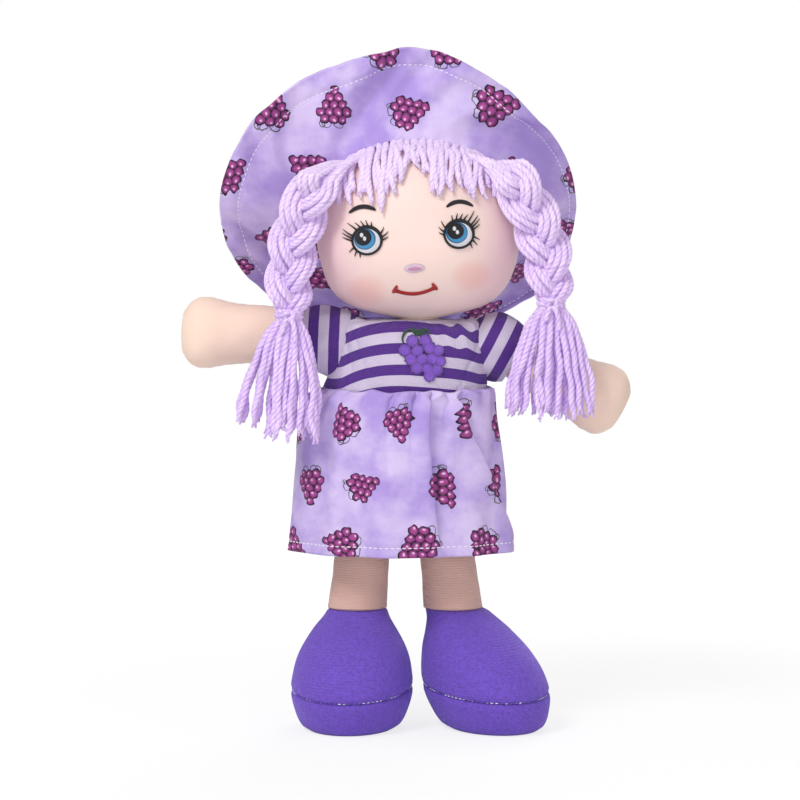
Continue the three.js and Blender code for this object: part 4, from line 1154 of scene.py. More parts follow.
ARM_LENGTH, ARM_HALF_WIDTH, ARM_HALF_DEPTH = 70.0, 15.8, 13.2
ARM_END, ARM_TIP = 0.97, 0.021
ARMS = {"right": (-1, math.radians(2)), "left": (1, math.radians(-28))}
LEG_SHARES = (0, 0.03, 0.1, 0.2, 0.32, 0.5, 0.75, 1)
LEG_WIDTHS = (0.9, 0.93, 0.97, 1, 1, 1, 1, 1.08)
LEG_DEPTHS = (0.1, 0.2, 0.41, 0.68, 0.9, 1, 1, 1.08)
LEGS = {"right": (-20.0, -25.5), "left": (10.0, 17.0)}
HIP_HEIGHT, ANKLE_HEIGHT, LEG_RADIUS = 116.0, 52.3, 12.2
# Towards the doll's own left, and towards its back
LEFTWARD = np.array([1.0, 0.0, 0.0])
BACKWARD = np.array([0.0, 1.0, 0.0])


def body_x(height):
    """Middle of the body at a height: it leans to one side from the armpits down to the waist."""
    return WAIST_X + (TORSO_X - WAIST_X) * np.clip((height - WAIST) / (ARMPIT - WAIST), 0, 1)


def make_torso():
    """The cloth bag under the clothes, with its side seams."""
    angle = ring_angles(96)
    shares = np.linspace(0.005, 0.99, 60)
    wide = table(TORSO_SHARES, TORSO_WIDTHS, shares)[:, None] * TORSO_HALF_WIDTH
    deep = table(TORSO_SHARES, TORSO_DEPTHS, shares)[:, None] * TORSO_HALF_DEPTH
    height = TORSO_LOW + shares[:, None] * TORSO_TALL
    seam = 1 - 0.02 * bump(np.abs(np.cos(angle)) - 1, 0.004)
    soft = 1 + lumps(angle[None, :] * 2, height * 0.16, size=0.006)
    x = body_x(height) + wide * np.cos(angle) * seam * soft
    torso = bag("torso", stack(x, deep * np.sin(angle) * soft, height), "velour")
    done(torso, "torso", "velour", "torso_skin", "torso_filling")


def make_hip_seam(name):
    """The thin sewn roll that joins a leg to the torso."""
    t = np.linspace(-1, 1, 40)[:, None]
    angle = ring_angles(14)
    radius = (1.15 * (1 - np.abs(t) ** 8) + 0.05) * (1 + 0.12 * np.sin(t * 31))
    x = LEGS[name][0] + 10.5 * t
    rows = stack(x, radius * np.cos(angle), HIP_HEIGHT + radius * np.sin(angle))
    done(bag(f"{name}_hip_roll", rows, "leg_knit"), f"{name}_leg", "velour", f"{name}_hip_seam")


def shoulder(side):
    """Where an arm leaves the torso."""
    return np.array([TORSO_X + side * 32.5, 3.0, 172.0])


def arm_frame(side, rise):
    """Forward along an arm, and across it."""
    forward = np.array([side * math.cos(rise), 0.0, math.sin(rise)])
    return forward, np.cross(BACKWARD, forward)


def make_arm(name):
    """A stuffed arm with a mitten hand, closed by a small dome at both ends."""
    side, rise = ARMS[name]
    forward, across = arm_frame(side, rise)
    angle = ring_angles(72)
    close = np.array([0.06, 0.3, 0.6, 0.85])
    start = ARM_SHARES[0]
    dome = ARM_END + 0.0205 * np.array([0.35, 0.62, 0.82, 0.94, 0.99])
    shares = np.concatenate([start - 0.004 * (1 - close), np.linspace(start, ARM_END, 76), dome])
    held = np.clip(shares, start, ARM_END)
    fade = np.sqrt(np.clip(1 - ((shares - ARM_END) / ARM_TIP) ** 2, 0, 1))
    fade = np.where(shares > ARM_END, fade, 1.0)
    fade[:4] = close
    wide = table(ARM_SHARES, ARM_WIDTHS, held)[:, None] * ARM_HALF_WIDTH
    deep = table(ARM_SHARES, ARM_DEPTHS, held)[:, None] * ARM_HALF_DEPTH
    shares = shares[:, None]
    body = np.clip(shares / 0.15, 0, 1)
    seam = bump(np.sin(angle), 0.05) * body
    tucks = bump(np.sin(angle), 0.3) * np.sin(shares * 96) * body
    soft = lumps(angle[None, :] * 2, shares * 9, size=0.02, seed=1.5 + side) * body
    ratio = fade[:, None] * (1 - 0.045 * seam + 0.006 * tucks + soft)
    middle = shoulder(side) + forward * shares * ARM_LENGTH
    rows = round_rows(middle, across, BACKWARD, angle, wide * ratio, deep * ratio)
    arm = bag(f"{name}_arm", rows, "velour")
    done(arm, f"{name}_arm", "velour", f"{name}_arm_skin", f"{name}_arm_filling")


def make_leg(name):
    """A stuffed leg, which leans outwards to its ankle, with the seam at its back."""
    hip_x, ankle_x = LEGS[name]
    angle = ring_angles(64)
    shares = np.linspace(0, 1.0, 64)[:, None]
    wide = table(LEG_SHARES, LEG_WIDTHS, shares) * LEG_RADIUS
    deep = table(LEG_SHARES, LEG_DEPTHS, shares) * LEG_RADIUS
    top = HIP_HEIGHT - 1.5
    height = top + shares * (ANKLE_HEIGHT - top)
    middle = hip_x + (ankle_x - hip_x) * shares
    seam = bump(angle - TURN / 4, 0.07) * np.clip(shares / 0.3, 0, 1)
    soft = lumps(angle[None, :] * 2, height * 0.14, size=0.02, seed=hip_x)
    ratio = 1 - 0.06 * seam + soft * np.clip(shares / 0.2, 0, 1)
    rows = stack(middle + wide * np.cos(angle) * ratio, deep * np.sin(angle) * ratio, height)
    leg = bag(f"{name}_leg", rows, "leg_knit")
    done(leg, f"{name}_leg", "leg_knit", f"{name}_leg_skin", f"{name}_leg_filling")


# Shoes


SHOE_SHARES = (0, 0.04, 0.14, 0.3, 0.47, 0.64, 0.82, 0.93, 1)
SHOE_WIDTHS = (0.7, 0.82, 0.92, 1, 0.98, 0.89, 0.7, 0.56, 0.494)
SHOE_LENGTHS = (0.74, 0.84, 0.93, 1, 0.96, 0.84, 0.62, 0.46, 0.388)
SHOE_FORWARD = (1, 1, 1, 1, 0.95, 0.8, 0.45, 0.14, 0)
SHOE_HALF_WIDTH, SHOE_HALF_LENGTH, SHOE_AHEAD = 26.7, 33.24, 8.24
SHOE_TOP = ANKLE_HEIGHT - 0.3
# Middle of the ankle, middle of the sole and turn of each shoe
SHOES = {"right": (-25.5, -27.0, math.radians(-8)), "left": (17.0, 31.5, math.radians(22))}


def shoe_points(name, angle, height, lift):
    """Points of a shoe at an angle round it and a height, raised off its form by a lift."""
    ankle_x, shoe_x, turn = SHOES[name]
    share = height / SHOE_TOP
    wide = table(SHOE_SHARES, SHOE_WIDTHS, share) * SHOE_HALF_WIDTH + lift
    long = table(SHOE_SHARES, SHOE_LENGTHS, share) * SHOE_HALF_LENGTH + lift
    forward = table(SHOE_SHARES, SHOE_FORWARD, share) * SHOE_AHEAD
    x, y = np.cos(angle) * wide, np.sin(angle) * long - forward
    middle = ankle_x + (shoe_x - ankle_x) * np.clip(1 - share, 0, 1) ** 0.6
    c, s = math.cos(turn), math.sin(turn)
    return stack(middle + x * c - y * s, x * s + y * c, height)


def toe_seam(angle):
    """Height of the seam between upper and sole: lowest at the toe."""
    return 15.0 + 6.0 * (1 + np.sin(angle)) / 2


def seam_pull(near, angle, size, reach, phase):
    """How far the velvet near the toe seam stands out in tucks and is drawn in by the thread."""
    tucks = size * bump(near, reach) * np.sin(angle * 34 + phase) * (1 - np.exp(-near / 0.8))
    return tucks - 1.5 * np.exp(-near / 0.9)


def make_shoe(name):
    """Upper, sole and the stitches of the toe seam between them."""
    angle = ring_angles(120)
    seam = toe_seam(angle)
    level = seam[None, :]
    t = np.linspace(0, 1, 50)[:, None]
    height = seam + 0.15 + (SHOE_TOP - seam - 0.15) * t
    rise = np.sin(t * math.pi / 2) ** 1.2
    soft = lumps(angle[None, :] * 2, height * 0.12, size=0.45, seed=2.0 + len(name)) * rise
    cuff = 0.7 * bump(SHOE_TOP - height, 0.8)
    pull = seam_pull(height - seam, angle, 0.35, 3.5, 0.0)
    rows = shoe_points(name, angle, height, pull + soft - cuff)
    top = shoe_points(name, angle, np.full_like(level, SHOE_TOP), -2.6)
    floor = shoe_points(name, angle, level + 0.3, -5.0)
    upper = bag(f"{name}_shoe_velvet", np.concatenate([floor, rows, top]), "shoe_velvet")
    done(upper, f"{name}_leg", "velvet", f"{name}_shoe_upper", f"{name}_shoe_filling")

    height = (seam - 0.15) * np.linspace(0, 1, 18)[:, None]
    rows = shoe_points(name, angle, height, seam_pull(seam - height, angle, 0.3, 3.0, 1.5))
    base = [shoe_points(name, angle, np.zeros_like(level), -inset) for inset in (14, 7, 2)]
    lid = shoe_points(name, angle, level - 0.3, -5.0)
    rows = np.concatenate([*base, rows, lid])
    sole = bag(f"{name}_shoe_sole_velvet", rows, "shoe_velvet")
    done(sole, f"{name}_leg", "velvet", f"{name}_shoe_sole")

    ends = np.linspace(0, TURN, 200)
    line = shoe_points(name, ends, toe_seam(ends) + 0.35, -0.55)
    seam = stitches(f"{name}_shoe_stitches", [line], 0.62, "toe_thread")
    done(seam, f"{name}_leg", "white_thread", f"{name}_shoe_seam")


# Shirt


BODICE_LOW, BODICE_HIGH = 146.0, 178.8
BODICE_HALF_WIDTH, BODICE_HALF_DEPTH = 36.4, 25.6
BODICE_SHARES = (0, 0.2, 0.4, 0.72, 0.9, 1)
BODICE_WIDTHS = (1, 0.975, 0.93, 0.925, 0.87, 0.62)
BODICE_DEPTHS = (1, 0.99, 0.95, 0.85, 0.71, 0.54)
# Degrees round the shirt, at its top and its bottom, of the creases that pull at the armholes
PULLS = ((-158, -128), (-24, -52), (-146, -112))
# Rings of the ruffled neck: height over the shirt's top, and share of its width
RUFFLE = ((0.7, 0.95), (1.2, 0.86), (1.4, 0.72), (1.3, 0.5))
# Rings of the elastic: height and how far it stands out
ELASTIC = ((147.6, -0.25), (147.6, 0.75), (145.0, 0.85), (141.0, 0.75), (141.0, -0.25))


def bodice_sizes(share):
    """Half width and half depth of the shirt at a share of its height."""
    wide = table(BODICE_SHARES, BODICE_WIDTHS, share) * BODICE_HALF_WIDTH
    deep = table(BODICE_SHARES, BODICE_DEPTHS, share) * BODICE_HALF_DEPTH
    return wide, deep


def on_shirt(x, height, lift):
    """Points on the front of the shirt, raised off it by a lift."""
    share = np.clip((np.asarray(height, float) - BODICE_LOW) / (BODICE_HIGH - BODICE_LOW), 0, 1)
    wide, deep = bodice_sizes(share)
    side = np.clip(np.abs((x - body_x(height)) / wide), 0, 0.98)
    return stack(x, -deep * np.sqrt(1 - side * side) - lift, height)


def shirt_rows():
    """Rows of the shirt from its waist to the ruffle round its neck."""
    angle = ring_angles(260)
    share = np.linspace(0, 1, 60)[:, None]
    wide, deep = bodice_sizes(share)
    height = BODICE_LOW + share * (BODICE_HIGH - BODICE_LOW)
    low, high = bump(share, 0.14), bump(1 - share, 0.22)
    ripple = np.sin(angle * 30 + 1.4 * np.sin(angle * 5))
    slack = lumps(angle[None, :] * 5, share * 4, size=0.6, seed=0.7) * (1 - low)
    pulls = 0.0
    for top, bottom in PULLS:
        line = np.radians(top + (bottom - top) * (1 - share))
        pulls = pulls + 0.7 * bump(angle - TURN - line, 0.045) * np.sin(math.pi * share) ** 0.7
    out = ripple * (0.3 * low + 0.55 * high) + slack + 0.2 - pulls
    x = body_x(height) + np.cos(angle) * (wide + out)
    rows = stack(x, np.sin(angle) * (deep + out), height)
    armhole = bump(np.abs(rows[..., 0] - TORSO_X) - 27.5, 6.5) * np.clip((share - 0.6) / 0.4, 0, 1)
    rows[..., 2] += armhole * (2.9 + 0.7 * np.sin(angle * 22))
    neck = []
    for rise, shrink in RUFFLE:
        x = TORSO_X + np.cos(angle) * (wide[-1] * shrink + 0.5 * ripple)
        y = np.sin(angle) * (deep[-1] * shrink + 0.5 * ripple)
        neck.append(stack(x, y, BODICE_HIGH + rise))
    return np.concatenate([rows, neck])


def shirt_map(rows):
    """Map of the shirt: its stripes sag at the sides, arch between and crumple at one side."""
    cloth = cloth_map(rows)
    x, _, level = np.moveaxis(rejoined(rows), -1, 0)
    drag = 2.6 * bump(x + 37, 9) + 1.5 * bump(x - 32, 8) + 0.4 * np.sin(x / 7)
    arch = 3.7 * np.clip(1 - ((x + 2) / 30) ** 2, 0, 1)
    crumple = 1.3 * np.sin(x * 0.75 + level * 0.3) * bump(x - 22, 9)
    crumple = crumple * np.clip((level - 164) / 8, 0, 1)
    cloth[..., 1] = (level - 3.2 + drag - arch + crumple) * MM
    return cloth


def make_shirt():
    """The shirt, a sheet that is open at the waist and the neck."""
    rows = shirt_rows()
    shirt = woven("shirt", rows[::-1], "striped_jersey", cloth=shirt_map(rows)[::-1])
    sure_outward(shirt, lambda p: (ORIGIN[0] + TORSO_X * MM, ORIGIN[1], p.z))
    thicken(shirt, 1.2)
    done(shirt, "torso", "jersey", "shirt_body")


def make_waist_band():
    """The elastic that gathers the skirt on the shirt."""
    angle = ring_angles(160)
    rows = []
    for height, lift in ELASTIC:
        out = lift + 0.12 * np.sin(angle * 44)
        x = WAIST_X + np.cos(angle) * (36.95 + out)
        rows.append(stack(x, np.sin(angle) * (26.15 + out), height))
    elastic = woven("waist_band", np.array([*rows, rows[0]]), "elastic_band")
    fix_closed(elastic)
    done(elastic, "torso", "elastic", "waist_elastic")


SLEEVE_STEPS = (-9.5, -8.5, -6, -3, 0, 3, 11, 15)
SLEEVE_RADII = (5.0, 8.2, 11.4, 13.1, 13.8, 14.1, 13.8, 13.0)
SLEEVE_LENGTH = 15


def make_sleeve(name):
    """A short sleeve: a tube with a turned-in cuff, which runs on under the armhole."""
    side, rise = ARMS[name]
    forward, across = arm_frame(side, rise)
    angle = ring_angles(120)
    inside = [-9.5, -8.5, -7.2, -5.6, -4.0, -2.4, -0.8, 0.8]
    turned_in = [15.3, 15.0, 14.0]
    step = np.concatenate([inside, np.linspace(2.2, SLEEVE_LENGTH, 24), turned_in])
    radius = table(SLEEVE_STEPS, SLEEVE_RADII, step)[:, None]
    radius[-3:, 0] -= (0.25, 0.7, 1.0)
    step = step[:, None]
    share = np.clip(step / SLEEVE_LENGTH, 0, 1)
    cuff = bump(SLEEVE_LENGTH - step, 1.8)
    puff = 0.7 * np.sin(share * math.pi)
    folds = 0.6 * np.sin(angle * 7 + 2 * share) * (1 - cuff) * np.clip((step + 8) / 10, 0, 1)
    lower = np.clip(side * np.cos(angle), 0, 1)
    wide = radius + puff + folds + 3.6 * lower * bump(step + 1, 6.5)
    inward = np.array([side, 0.0, -0.12])
    middle = shoulder(side) + forward * np.maximum(step, 0) + inward * np.minimum(step, 0)
    middle = middle + np.array([0.0, 0.0, -1.2])
    rows = round_rows(middle, across, BACKWARD, angle, wide, wide)
    cloth = cloth_map(rows)
    cloth[..., 1] = (step + 3.0) * MM
    sleeve = woven(f"{name}_sleeve_jersey", rows, "striped_jersey", cloth=cloth)
    axis = shoulder(side) * MM + ORIGIN
    ahead = Vector(forward)
    sure_outward(sleeve, lambda p: Vector(axis) + ahead * (p - Vector(axis)).dot(ahead))
    thicken(sleeve, 0.9, even=False)
    done(sleeve, None, "jersey", f"{name}_sleeve")
    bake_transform(sleeve)


# Bunch of berries sewn on the chest


# Middle of each sewn berry, across and up from the middle of the bunch
BUNCH = (
    (-4.1, 7.2), (1.9, 7.6), (-7.6, 2.9), (-1.8, 2.8), (3.8, 4.2), (8.0, 2.6), (-4.7, -1.2),
    (0.5, -1.2), (5.2, -1.0), (8.9, -2.2), (-1.9, -5.2), (3.0, -5.6), (7.2, -6.3), (3.9, -9.0),
)
BUNCH_MIDDLE = np.array([2.6, 164.6])


def make_patch():
    """The berries, with a leaf and tendrils of thread over them."""
    parts = []
    for k, place in enumerate(BUNCH):
        at = BUNCH_MIDDLE + np.array(place) * 0.93
        radius, turn = 2.75 + 0.2 * math.sin(3.3 * k), 0.9 * math.sin(2.7 * k + 0.6)
        parts.append(berry(f"berry_{k}", at, radius, turn, 0.42 + 0.16 * (k % 2)))
    done(joined("sewn_berries", parts), "torso", "berry_thread", "grape_berries")
    t = np.linspace(0, 1, 18)
    top = BUNCH_MIDDLE + [-2.2, 9.6]
    lines = (
        (5.6 * t - 0.4, 1.6 * np.sin(t * 4.0), 0.62), (-5.4 * t, 1.9 * np.sin(t * 3.0), 0.62),
        (-4.6 - 1.3 * np.sin(t * 2.4), 1.4 - 5.2 * t, 0.55), (1.4 + 2.6 * t, 2.0 * t, 0.6),
        (0.2 - 2.4 * t, 0.6 + 2.6 * t, 0.6), (2.6 + 3.0 * np.sin(t * 3.4), 2.6 - 4.2 * t, 0.5),
    )
    strokes = [(top + np.stack([x, z], -1), wide * (1 - 0.35 * t)) for x, z, wide in lines]
    leaf = (top + np.stack([-1.2 + 4.2 * t, 1.5 - 1.5 * t], -1), 0.35 + 0.95 * np.sin(t * math.pi))
    leaves = bars("sewn_leaf", "leaf_thread", [*strokes, leaf], 0.75, 0.5, on_shirt)
    done(leaves, "torso", "green_thread", "grape_leaf")


def berry(name, centre, radius, turn, thickness):
    """A berry of satin stitch: threads side by side over a round pad."""
    angle = ring_angles(36)
    reach = np.concatenate([[1.0], np.linspace(1.0, 0.05, 12)])[:, None]
    x, z = reach * np.cos(angle) * radius, reach * np.sin(angle) * radius
    along = x * math.cos(turn) + z * math.sin(turn)
    across = z * math.cos(turn) - x * math.sin(turn)
    dome = thickness * np.sqrt(np.clip(1.02 - reach**2, 0, 1)) * 2.0
    lift = 0.5 + dome + 0.12 * np.abs(np.sin(along * math.pi / 0.62))
    lift[0] = 0.15
    shape = 1 + 0.2 * np.sin(along * 10.1) * (reach > 0.9) / radius
    rows = on_shirt(centre[0] + x * shape, centre[1] + z * shape, lift)
    cloth = rejoined(flat_map(along, across))
    return woven(name, rows, "patch_thread", closed=(True, True), cloth=cloth)


# Skirt


# Degrees round the skirt at waist and hem, depths at both, and half width in millimetres
PLEATS = ((-73.5, -69.0, 1.1, 0.3, 6.5), (-56.0, -4.0, 1.1, 0.3, 7.5))
SKIRT_TOP, SKIRT_RADIUS = 148.4, 42
WAIST_WIDE, WAIST_DEEP, HEM_WIDE, HEM_DEEP = 39.0, 28.3, 47.4, 33.4
SPLIT_FRONT, SPLIT_BACK = math.radians(-86), math.radians(90)


def pleated(angle, share):
    """How far the cloth of the pleats stands out, and how far it is shoved sideways."""
    out, shove = 0.0, 0.0
    for top, low, strong, weak, wide in PLEATS:
        near = (angle - np.radians(top + (low - top) * share)) * SKIRT_RADIUS
        depth = strong + (weak - strong) * share
        wrap = np.clip(near / wide, -1, 1)
        shove = shove - 0.48 * wide * np.sin(wrap * math.pi) * depth
        out = out - 3.8 * np.sin(wrap * math.pi / 2) * bump(near, 1.3 * wide) * depth
    return out, shove


def skirt_gathers(angle, down):
    """Small gathers under the waist, with sharper creases in the middle of the front."""
    fine = (np.sin(angle * 26 + 2.0 * np.sin(angle * 5)) + 0.4) * np.exp(-down / 0.15)
    crease = bump(np.sin(angle * 13 + np.sin(angle * 5) + 0.6), 0.3)
    sharp = bump(angle + 1.45, 0.5) * (1.7 - 3.2 * crease) * np.exp(-down / 0.15)
    return (0.8 + 0.6 * bump(angle + 1.55, 0.4)) * (fine + sharp)


def skirt_points(angle, share, lift=0.0):
    """Points of the skirt at an angle round it and a share of its length."""
    angle, share = np.broadcast_arrays(np.asarray(angle, float), np.asarray(share, float))
    down = np.maximum(share, 0)
    slant = angle + 0.25 * share
    fold = 0.5 + 0.5 * np.cos(9 * slant) + 0.3 * np.cos(5 * slant + 1)
    fold = fold + 0.2 * np.cos(14 * slant + 2)
    billow = 0.9 * np.cos(12 * slant + 1.5 * np.sin(3 * angle)) * np.sin(math.pi * down**0.8)
    small = lumps(angle * 8, share * 4, size=0.6, seed=3.0) * down**0.5
    over, shove = pleated(angle, share)
    begin = np.clip(down / 0.05, 0, 1)
    out = share * 2.6 * fold + billow + skirt_gathers(angle, down) + small + over * begin
    out = np.maximum(out, -0.5 - 9 * down) + lift
    flare = down**0.45
    wide = WAIST_WIDE + (HEM_WIDE - WAIST_WIDE) * flare + out
    deep = WAIST_DEEP + (HEM_DEEP - WAIST_DEEP) * flare + out
    turned = angle + shove * begin / SKIRT_RADIUS
    ruck = 0.4 * (np.sin(angle * 11 + 1) + np.sin(angle * 17)) * np.exp(-down / 0.05)
    lean = share + 3.0 * np.sin(math.pi * np.sqrt(down))
    height = SKIRT_TOP + (HEM - SKIRT_TOP) * share - ruck
    return stack(WAIST_X - lean + np.cos(turned) * wide, np.sin(turned) * deep, height)


def skirt_blend(name, piece):
    """Bakes the piece's place into its mesh."""
    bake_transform(piece)


def make_skirt():
    """Two halves that meet at the front and the back, each with its hem stitches."""
    top = [-0.018, -0.016, -0.01, 0.0]
    share = np.concatenate([top, np.linspace(0.02, 0.965, 64), [0.985, 1.0]])[:, None]
    turned_in = np.interp(share, top, (-2.4, -1.0, -0.25, 0.0))
    hem_dent = 0.5 * bump(share - 0.94, 0.012)
    whole = np.linspace(SPLIT_BACK - TURN, SPLIT_BACK, 720)
    steps = np.linalg.norm(np.diff(skirt_points(whole, 1.0), axis=0), axis=1)
    hem = np.append(0, steps.cumsum())
    for name, back in (("right", SPLIT_BACK - TURN), ("left", SPLIT_BACK)):
        sliver = math.copysign(0.0006, back - SPLIT_FRONT)
        sweep = np.linspace(SPLIT_FRONT + sliver, back - sliver, 300)
        angle = np.concatenate([[SPLIT_FRONT], sweep, [back]])[None, :]
        rows = skirt_points(angle, share, turned_in - hem_dent)
        cloth = flat_map(np.interp(angle, whole, hem), (1 - share) * 76.0) + [0.004, 0.011]
        half = woven(f"{name}_skirt", rows, "printed_cotton", around=False, cloth=cloth)
        sure_outward(half, lambda p: (ORIGIN[0] + WAIST_X * MM, ORIGIN[1], p.z))
        thicken(half, 1.1, even=False)
        done(half, None, "printed_cotton", "skirt")
        skirt_blend(name, half)
        line = skirt_points(np.linspace(SPLIT_FRONT, back, 400), 0.94, -0.25)
        seam = stitches(f"{name}_hem_stitches", [line], 0.8)
        done(seam, None, "white_thread", "hem_stitch")
        skirt_blend(name, seam)


# Hat


HAT_TILT = math.radians(62)
HAT_BACK = np.array([0.0, math.sin(HAT_TILT), math.cos(HAT_TILT)])
HAT_UP = np.array([0.0, -math.cos(HAT_TILT), math.sin(HAT_TILT)])
HAT_MIDDLE = np.array([0.6, 5.0, 222.0])
CROWN_WIDE, CROWN_HIGH, CROWN_DEEP = 48.4, 42.0, 36.0
# Middle and half sizes of the brim's outline, seen from the front
BRIM_X, BRIM_HEIGHT, BRIM_WIDE, BRIM_UPPER, BRIM_LOWER = -6.6, 229.0, 79.7, 67.6, 60.0


def brim_points(angle, share, lift=0.0):
    """Points of the brim at an angle round the face and a share of its width."""
    angle, share = np.broadcast_arrays(np.asarray(angle, float), np.asarray(share, float))
    c, s = np.cos(angle), np.sin(angle)
    right = LEFTWARD * (c * (CROWN_WIDE - 0.9))[..., None]
    inner = HAT_MIDDLE + right + HAT_UP * (s * (CROWN_HIGH - 0.9))[..., None]
    power = np.where(s > 0, 2 / 1.8, 1.0)
    tall = np.where(s > 0, BRIM_UPPER, BRIM_LOWER)
    back = 69.0 * ((1 - s) / 2) ** 1.3 - 19.0 + 27.0 * np.maximum(0, c) ** 2
    x = BRIM_X + signed_power(c, power) * BRIM_WIDE
    outer = stack(x, back, BRIM_HEIGHT + signed_power(s, power) * tall)
    ripple = 2.0 * np.sin(5 * angle + 1) * share + 3.0 * np.sin(math.pi * share)
    folds = lumps(angle * 6.5, share * 3.5, size=4.6, seed=0.4)
    folds = folds * np.sin(math.pi * np.clip(share, 0, 1) * 0.8)
    folds = folds + lumps(angle * 15 + 3 * share, share * 4, size=0.9, seed=2.2) * share
    pucker = 0.6 * np.sin(angle * 40 + 2 * np.sin(3 * angle)) * np.exp(-share / 0.1)
    out = ripple + folds + pucker + lift
    return inner + (outer - inner) * share[..., None] + HAT_BACK * out[..., None]


def brim_width(angle):
    """Width of the brim at an angle round the face."""
    return np.linalg.norm(brim_points(angle, 1.0) - brim_points(angle, 0.0), axis=-1)


def seam_inset(angle):
    """Width of the brim's turned edge, which was sewn unevenly."""
    return 6.3 + 2.4 * np.cos(angle - 2.3)


def make_brim():
    """Two layers of cotton with a rounded rim, sunk in along the topstitch."""
    angle = ring_angles(360)
    share = np.concatenate([np.linspace(0, 0.9, 40), np.linspace(0.91, 1, 14)])[:, None]
    inset = (1 - share) * brim_width(angle)
    groove = 0.55 * bump(inset - seam_inset(angle), 0.9)
    swell = 0.35 * bump(inset - seam_inset(angle) / 2, 2.4)
    front = brim_points(angle, share, groove - swell)
    back = brim_points(angle, share[::-1], 1.5 + (swell - groove)[::-1])
    edge = brim_points(angle, np.ones((1, 1)), 0.75)
    outward = unit(edge - brim_points(angle, np.full((1, 1), 0.95), 0.75))
    rim = [edge + outward * 0.45 + HAT_BACK * off for off in (-0.4, 0.4)]
    rows = np.concatenate([front, *rim, back])
    x, depth, height = np.moveaxis(rejoined(rows), -1, 0)
    low = np.clip((BRIM_HEIGHT - height) / 40, 0, 1)
    cloth = flat_map(x, height - 0.35 * low * (depth - depth.min()))
    layers, flat = (np.concatenate([part, part[:1]]) for part in (rows, cloth))
    brim = woven("brim", layers, "printed_cotton", cloth=flat)
    fix_closed(brim)
    # Painted shade over the brim's lower part: full at 178 mm, none at 238 mm.
    mark(brim, "painted_shade", (178, 1), (238, 0))
    done(brim, "head", "printed_cotton", "hat_brim")
    angle = np.append(angle, TURN)
    sewn = 1 - seam_inset(angle) / brim_width(angle)
    seam = stitches("brim_stitches", [brim_points(angle, sewn, lift) for lift in (0.3, 1.2)], 0.72)
    done(seam, "head", "white_thread", "brim_stitch")


def make_crown():
    """A bowl of six gores, with their seams drawn in, gathered at the brim."""
    angle = ring_angles(240)
    t = np.linspace(0, 1, 50)
    deep = CROWN_DEEP * table((0, 0.25, 0.5, 0.75, 1), (0, 0.42, 0.74, 0.93, 0.975), t)
    size = table((0, 0.35, 0.66, 0.88, 0.97), (1, 0.985, 0.87, 0.62, 0.35), deep / CROWN_DEEP)
    size = np.where(t > 0.9, size * np.sqrt(np.clip(1 - ((t - 0.9) / 0.101) ** 2, 0, 1)), size)
    size, t = size[:, None], t[:, None]
    gores = np.abs(np.sin(angle * 3))
    puff = 0.7 * gores**0.6 * np.sin(t * math.pi)
    gather = 0.35 * np.sin(angle * 46) * np.exp(-t / 0.07)
    out = puff - 0.7 * bump(gores, 0.045) * size + gather - 0.4
    middle = HAT_MIDDLE + HAT_BACK * deep[:, None]
    wide, high = (CROWN_WIDE + out) * size, (CROWN_HIGH + out) * size
    rows = round_rows(middle, LEFTWARD, HAT_UP, angle, wide, high)
    steps = np.linalg.norm(np.diff(rows[:, 0], axis=0), axis=1)
    reach = np.append(0, steps.cumsum())
    radius = (reach[-1] - reach)[:, None]
    turn = np.append(angle, TURN)
    cloth = flat_map(radius * np.cos(turn), radius * np.sin(turn))
    crown = woven("crown", rows, "printed_cotton", closed=(False, True), cloth=cloth)
    sure_outward(crown, lambda p: HAT_MIDDLE * MM + ORIGIN)
    thicken(crown, 1.4)
    done(crown, "head", "printed_cotton", "hat_crown")


# Hair


# How far the fringe hangs down, at places across the forehead
FRINGE_PLACES = (-32, -26, -21, -15, -9, -4, 1, 6, 11, 16, 22, 31)
FRINGE_DROPS = (12, 16, 18, 23, 17, 9, 8, 18, 20, 15, 18, 13)


def hat_line(x):
    """Point of the hat's opening above the face at x."""
    c = np.clip((x - HAT_MIDDLE[0]) / (CROWN_WIDE - 1.5), -1, 1)
    up = HAT_UP * ((CROWN_HIGH - 1.5) * math.sqrt(1 - c * c))
    return HAT_MIDDLE + LEFTWARD * (x - HAT_MIDDLE[0]) + up


def smooth_path(points, count):
    """A smooth line of count points through a few."""
    points = np.asarray(points, float)
    at = np.concatenate([[0], np.cumsum(np.linalg.norm(np.diff(points, axis=0), axis=1))])
    return np.stack([table(at, points[:, k], np.linspace(0, at[-1], count)) for k in range(3)], -1)


def fray(paths, radii, rng, spread):
    """Adds the plies that come apart at the tip of the last yarn."""
    tip = paths[-1]
    run = unit(tip[-1] - tip[-6])
    for _ in range(3):
        out = np.array([rng.uniform(-1, 1), -abs(rng.uniform(0, 0.5)), 0.0]) * spread
        reach = rng.uniform(0.8, 2.6)
        ply = [tip[-6], tip[-1] + out * 0.5, tip[-1] + run * reach + out * rng.uniform(0.8, 1.4)]
        paths.append(smooth_path(ply, 14))
        radii.append(np.linspace(0.55, 0.3, 14))


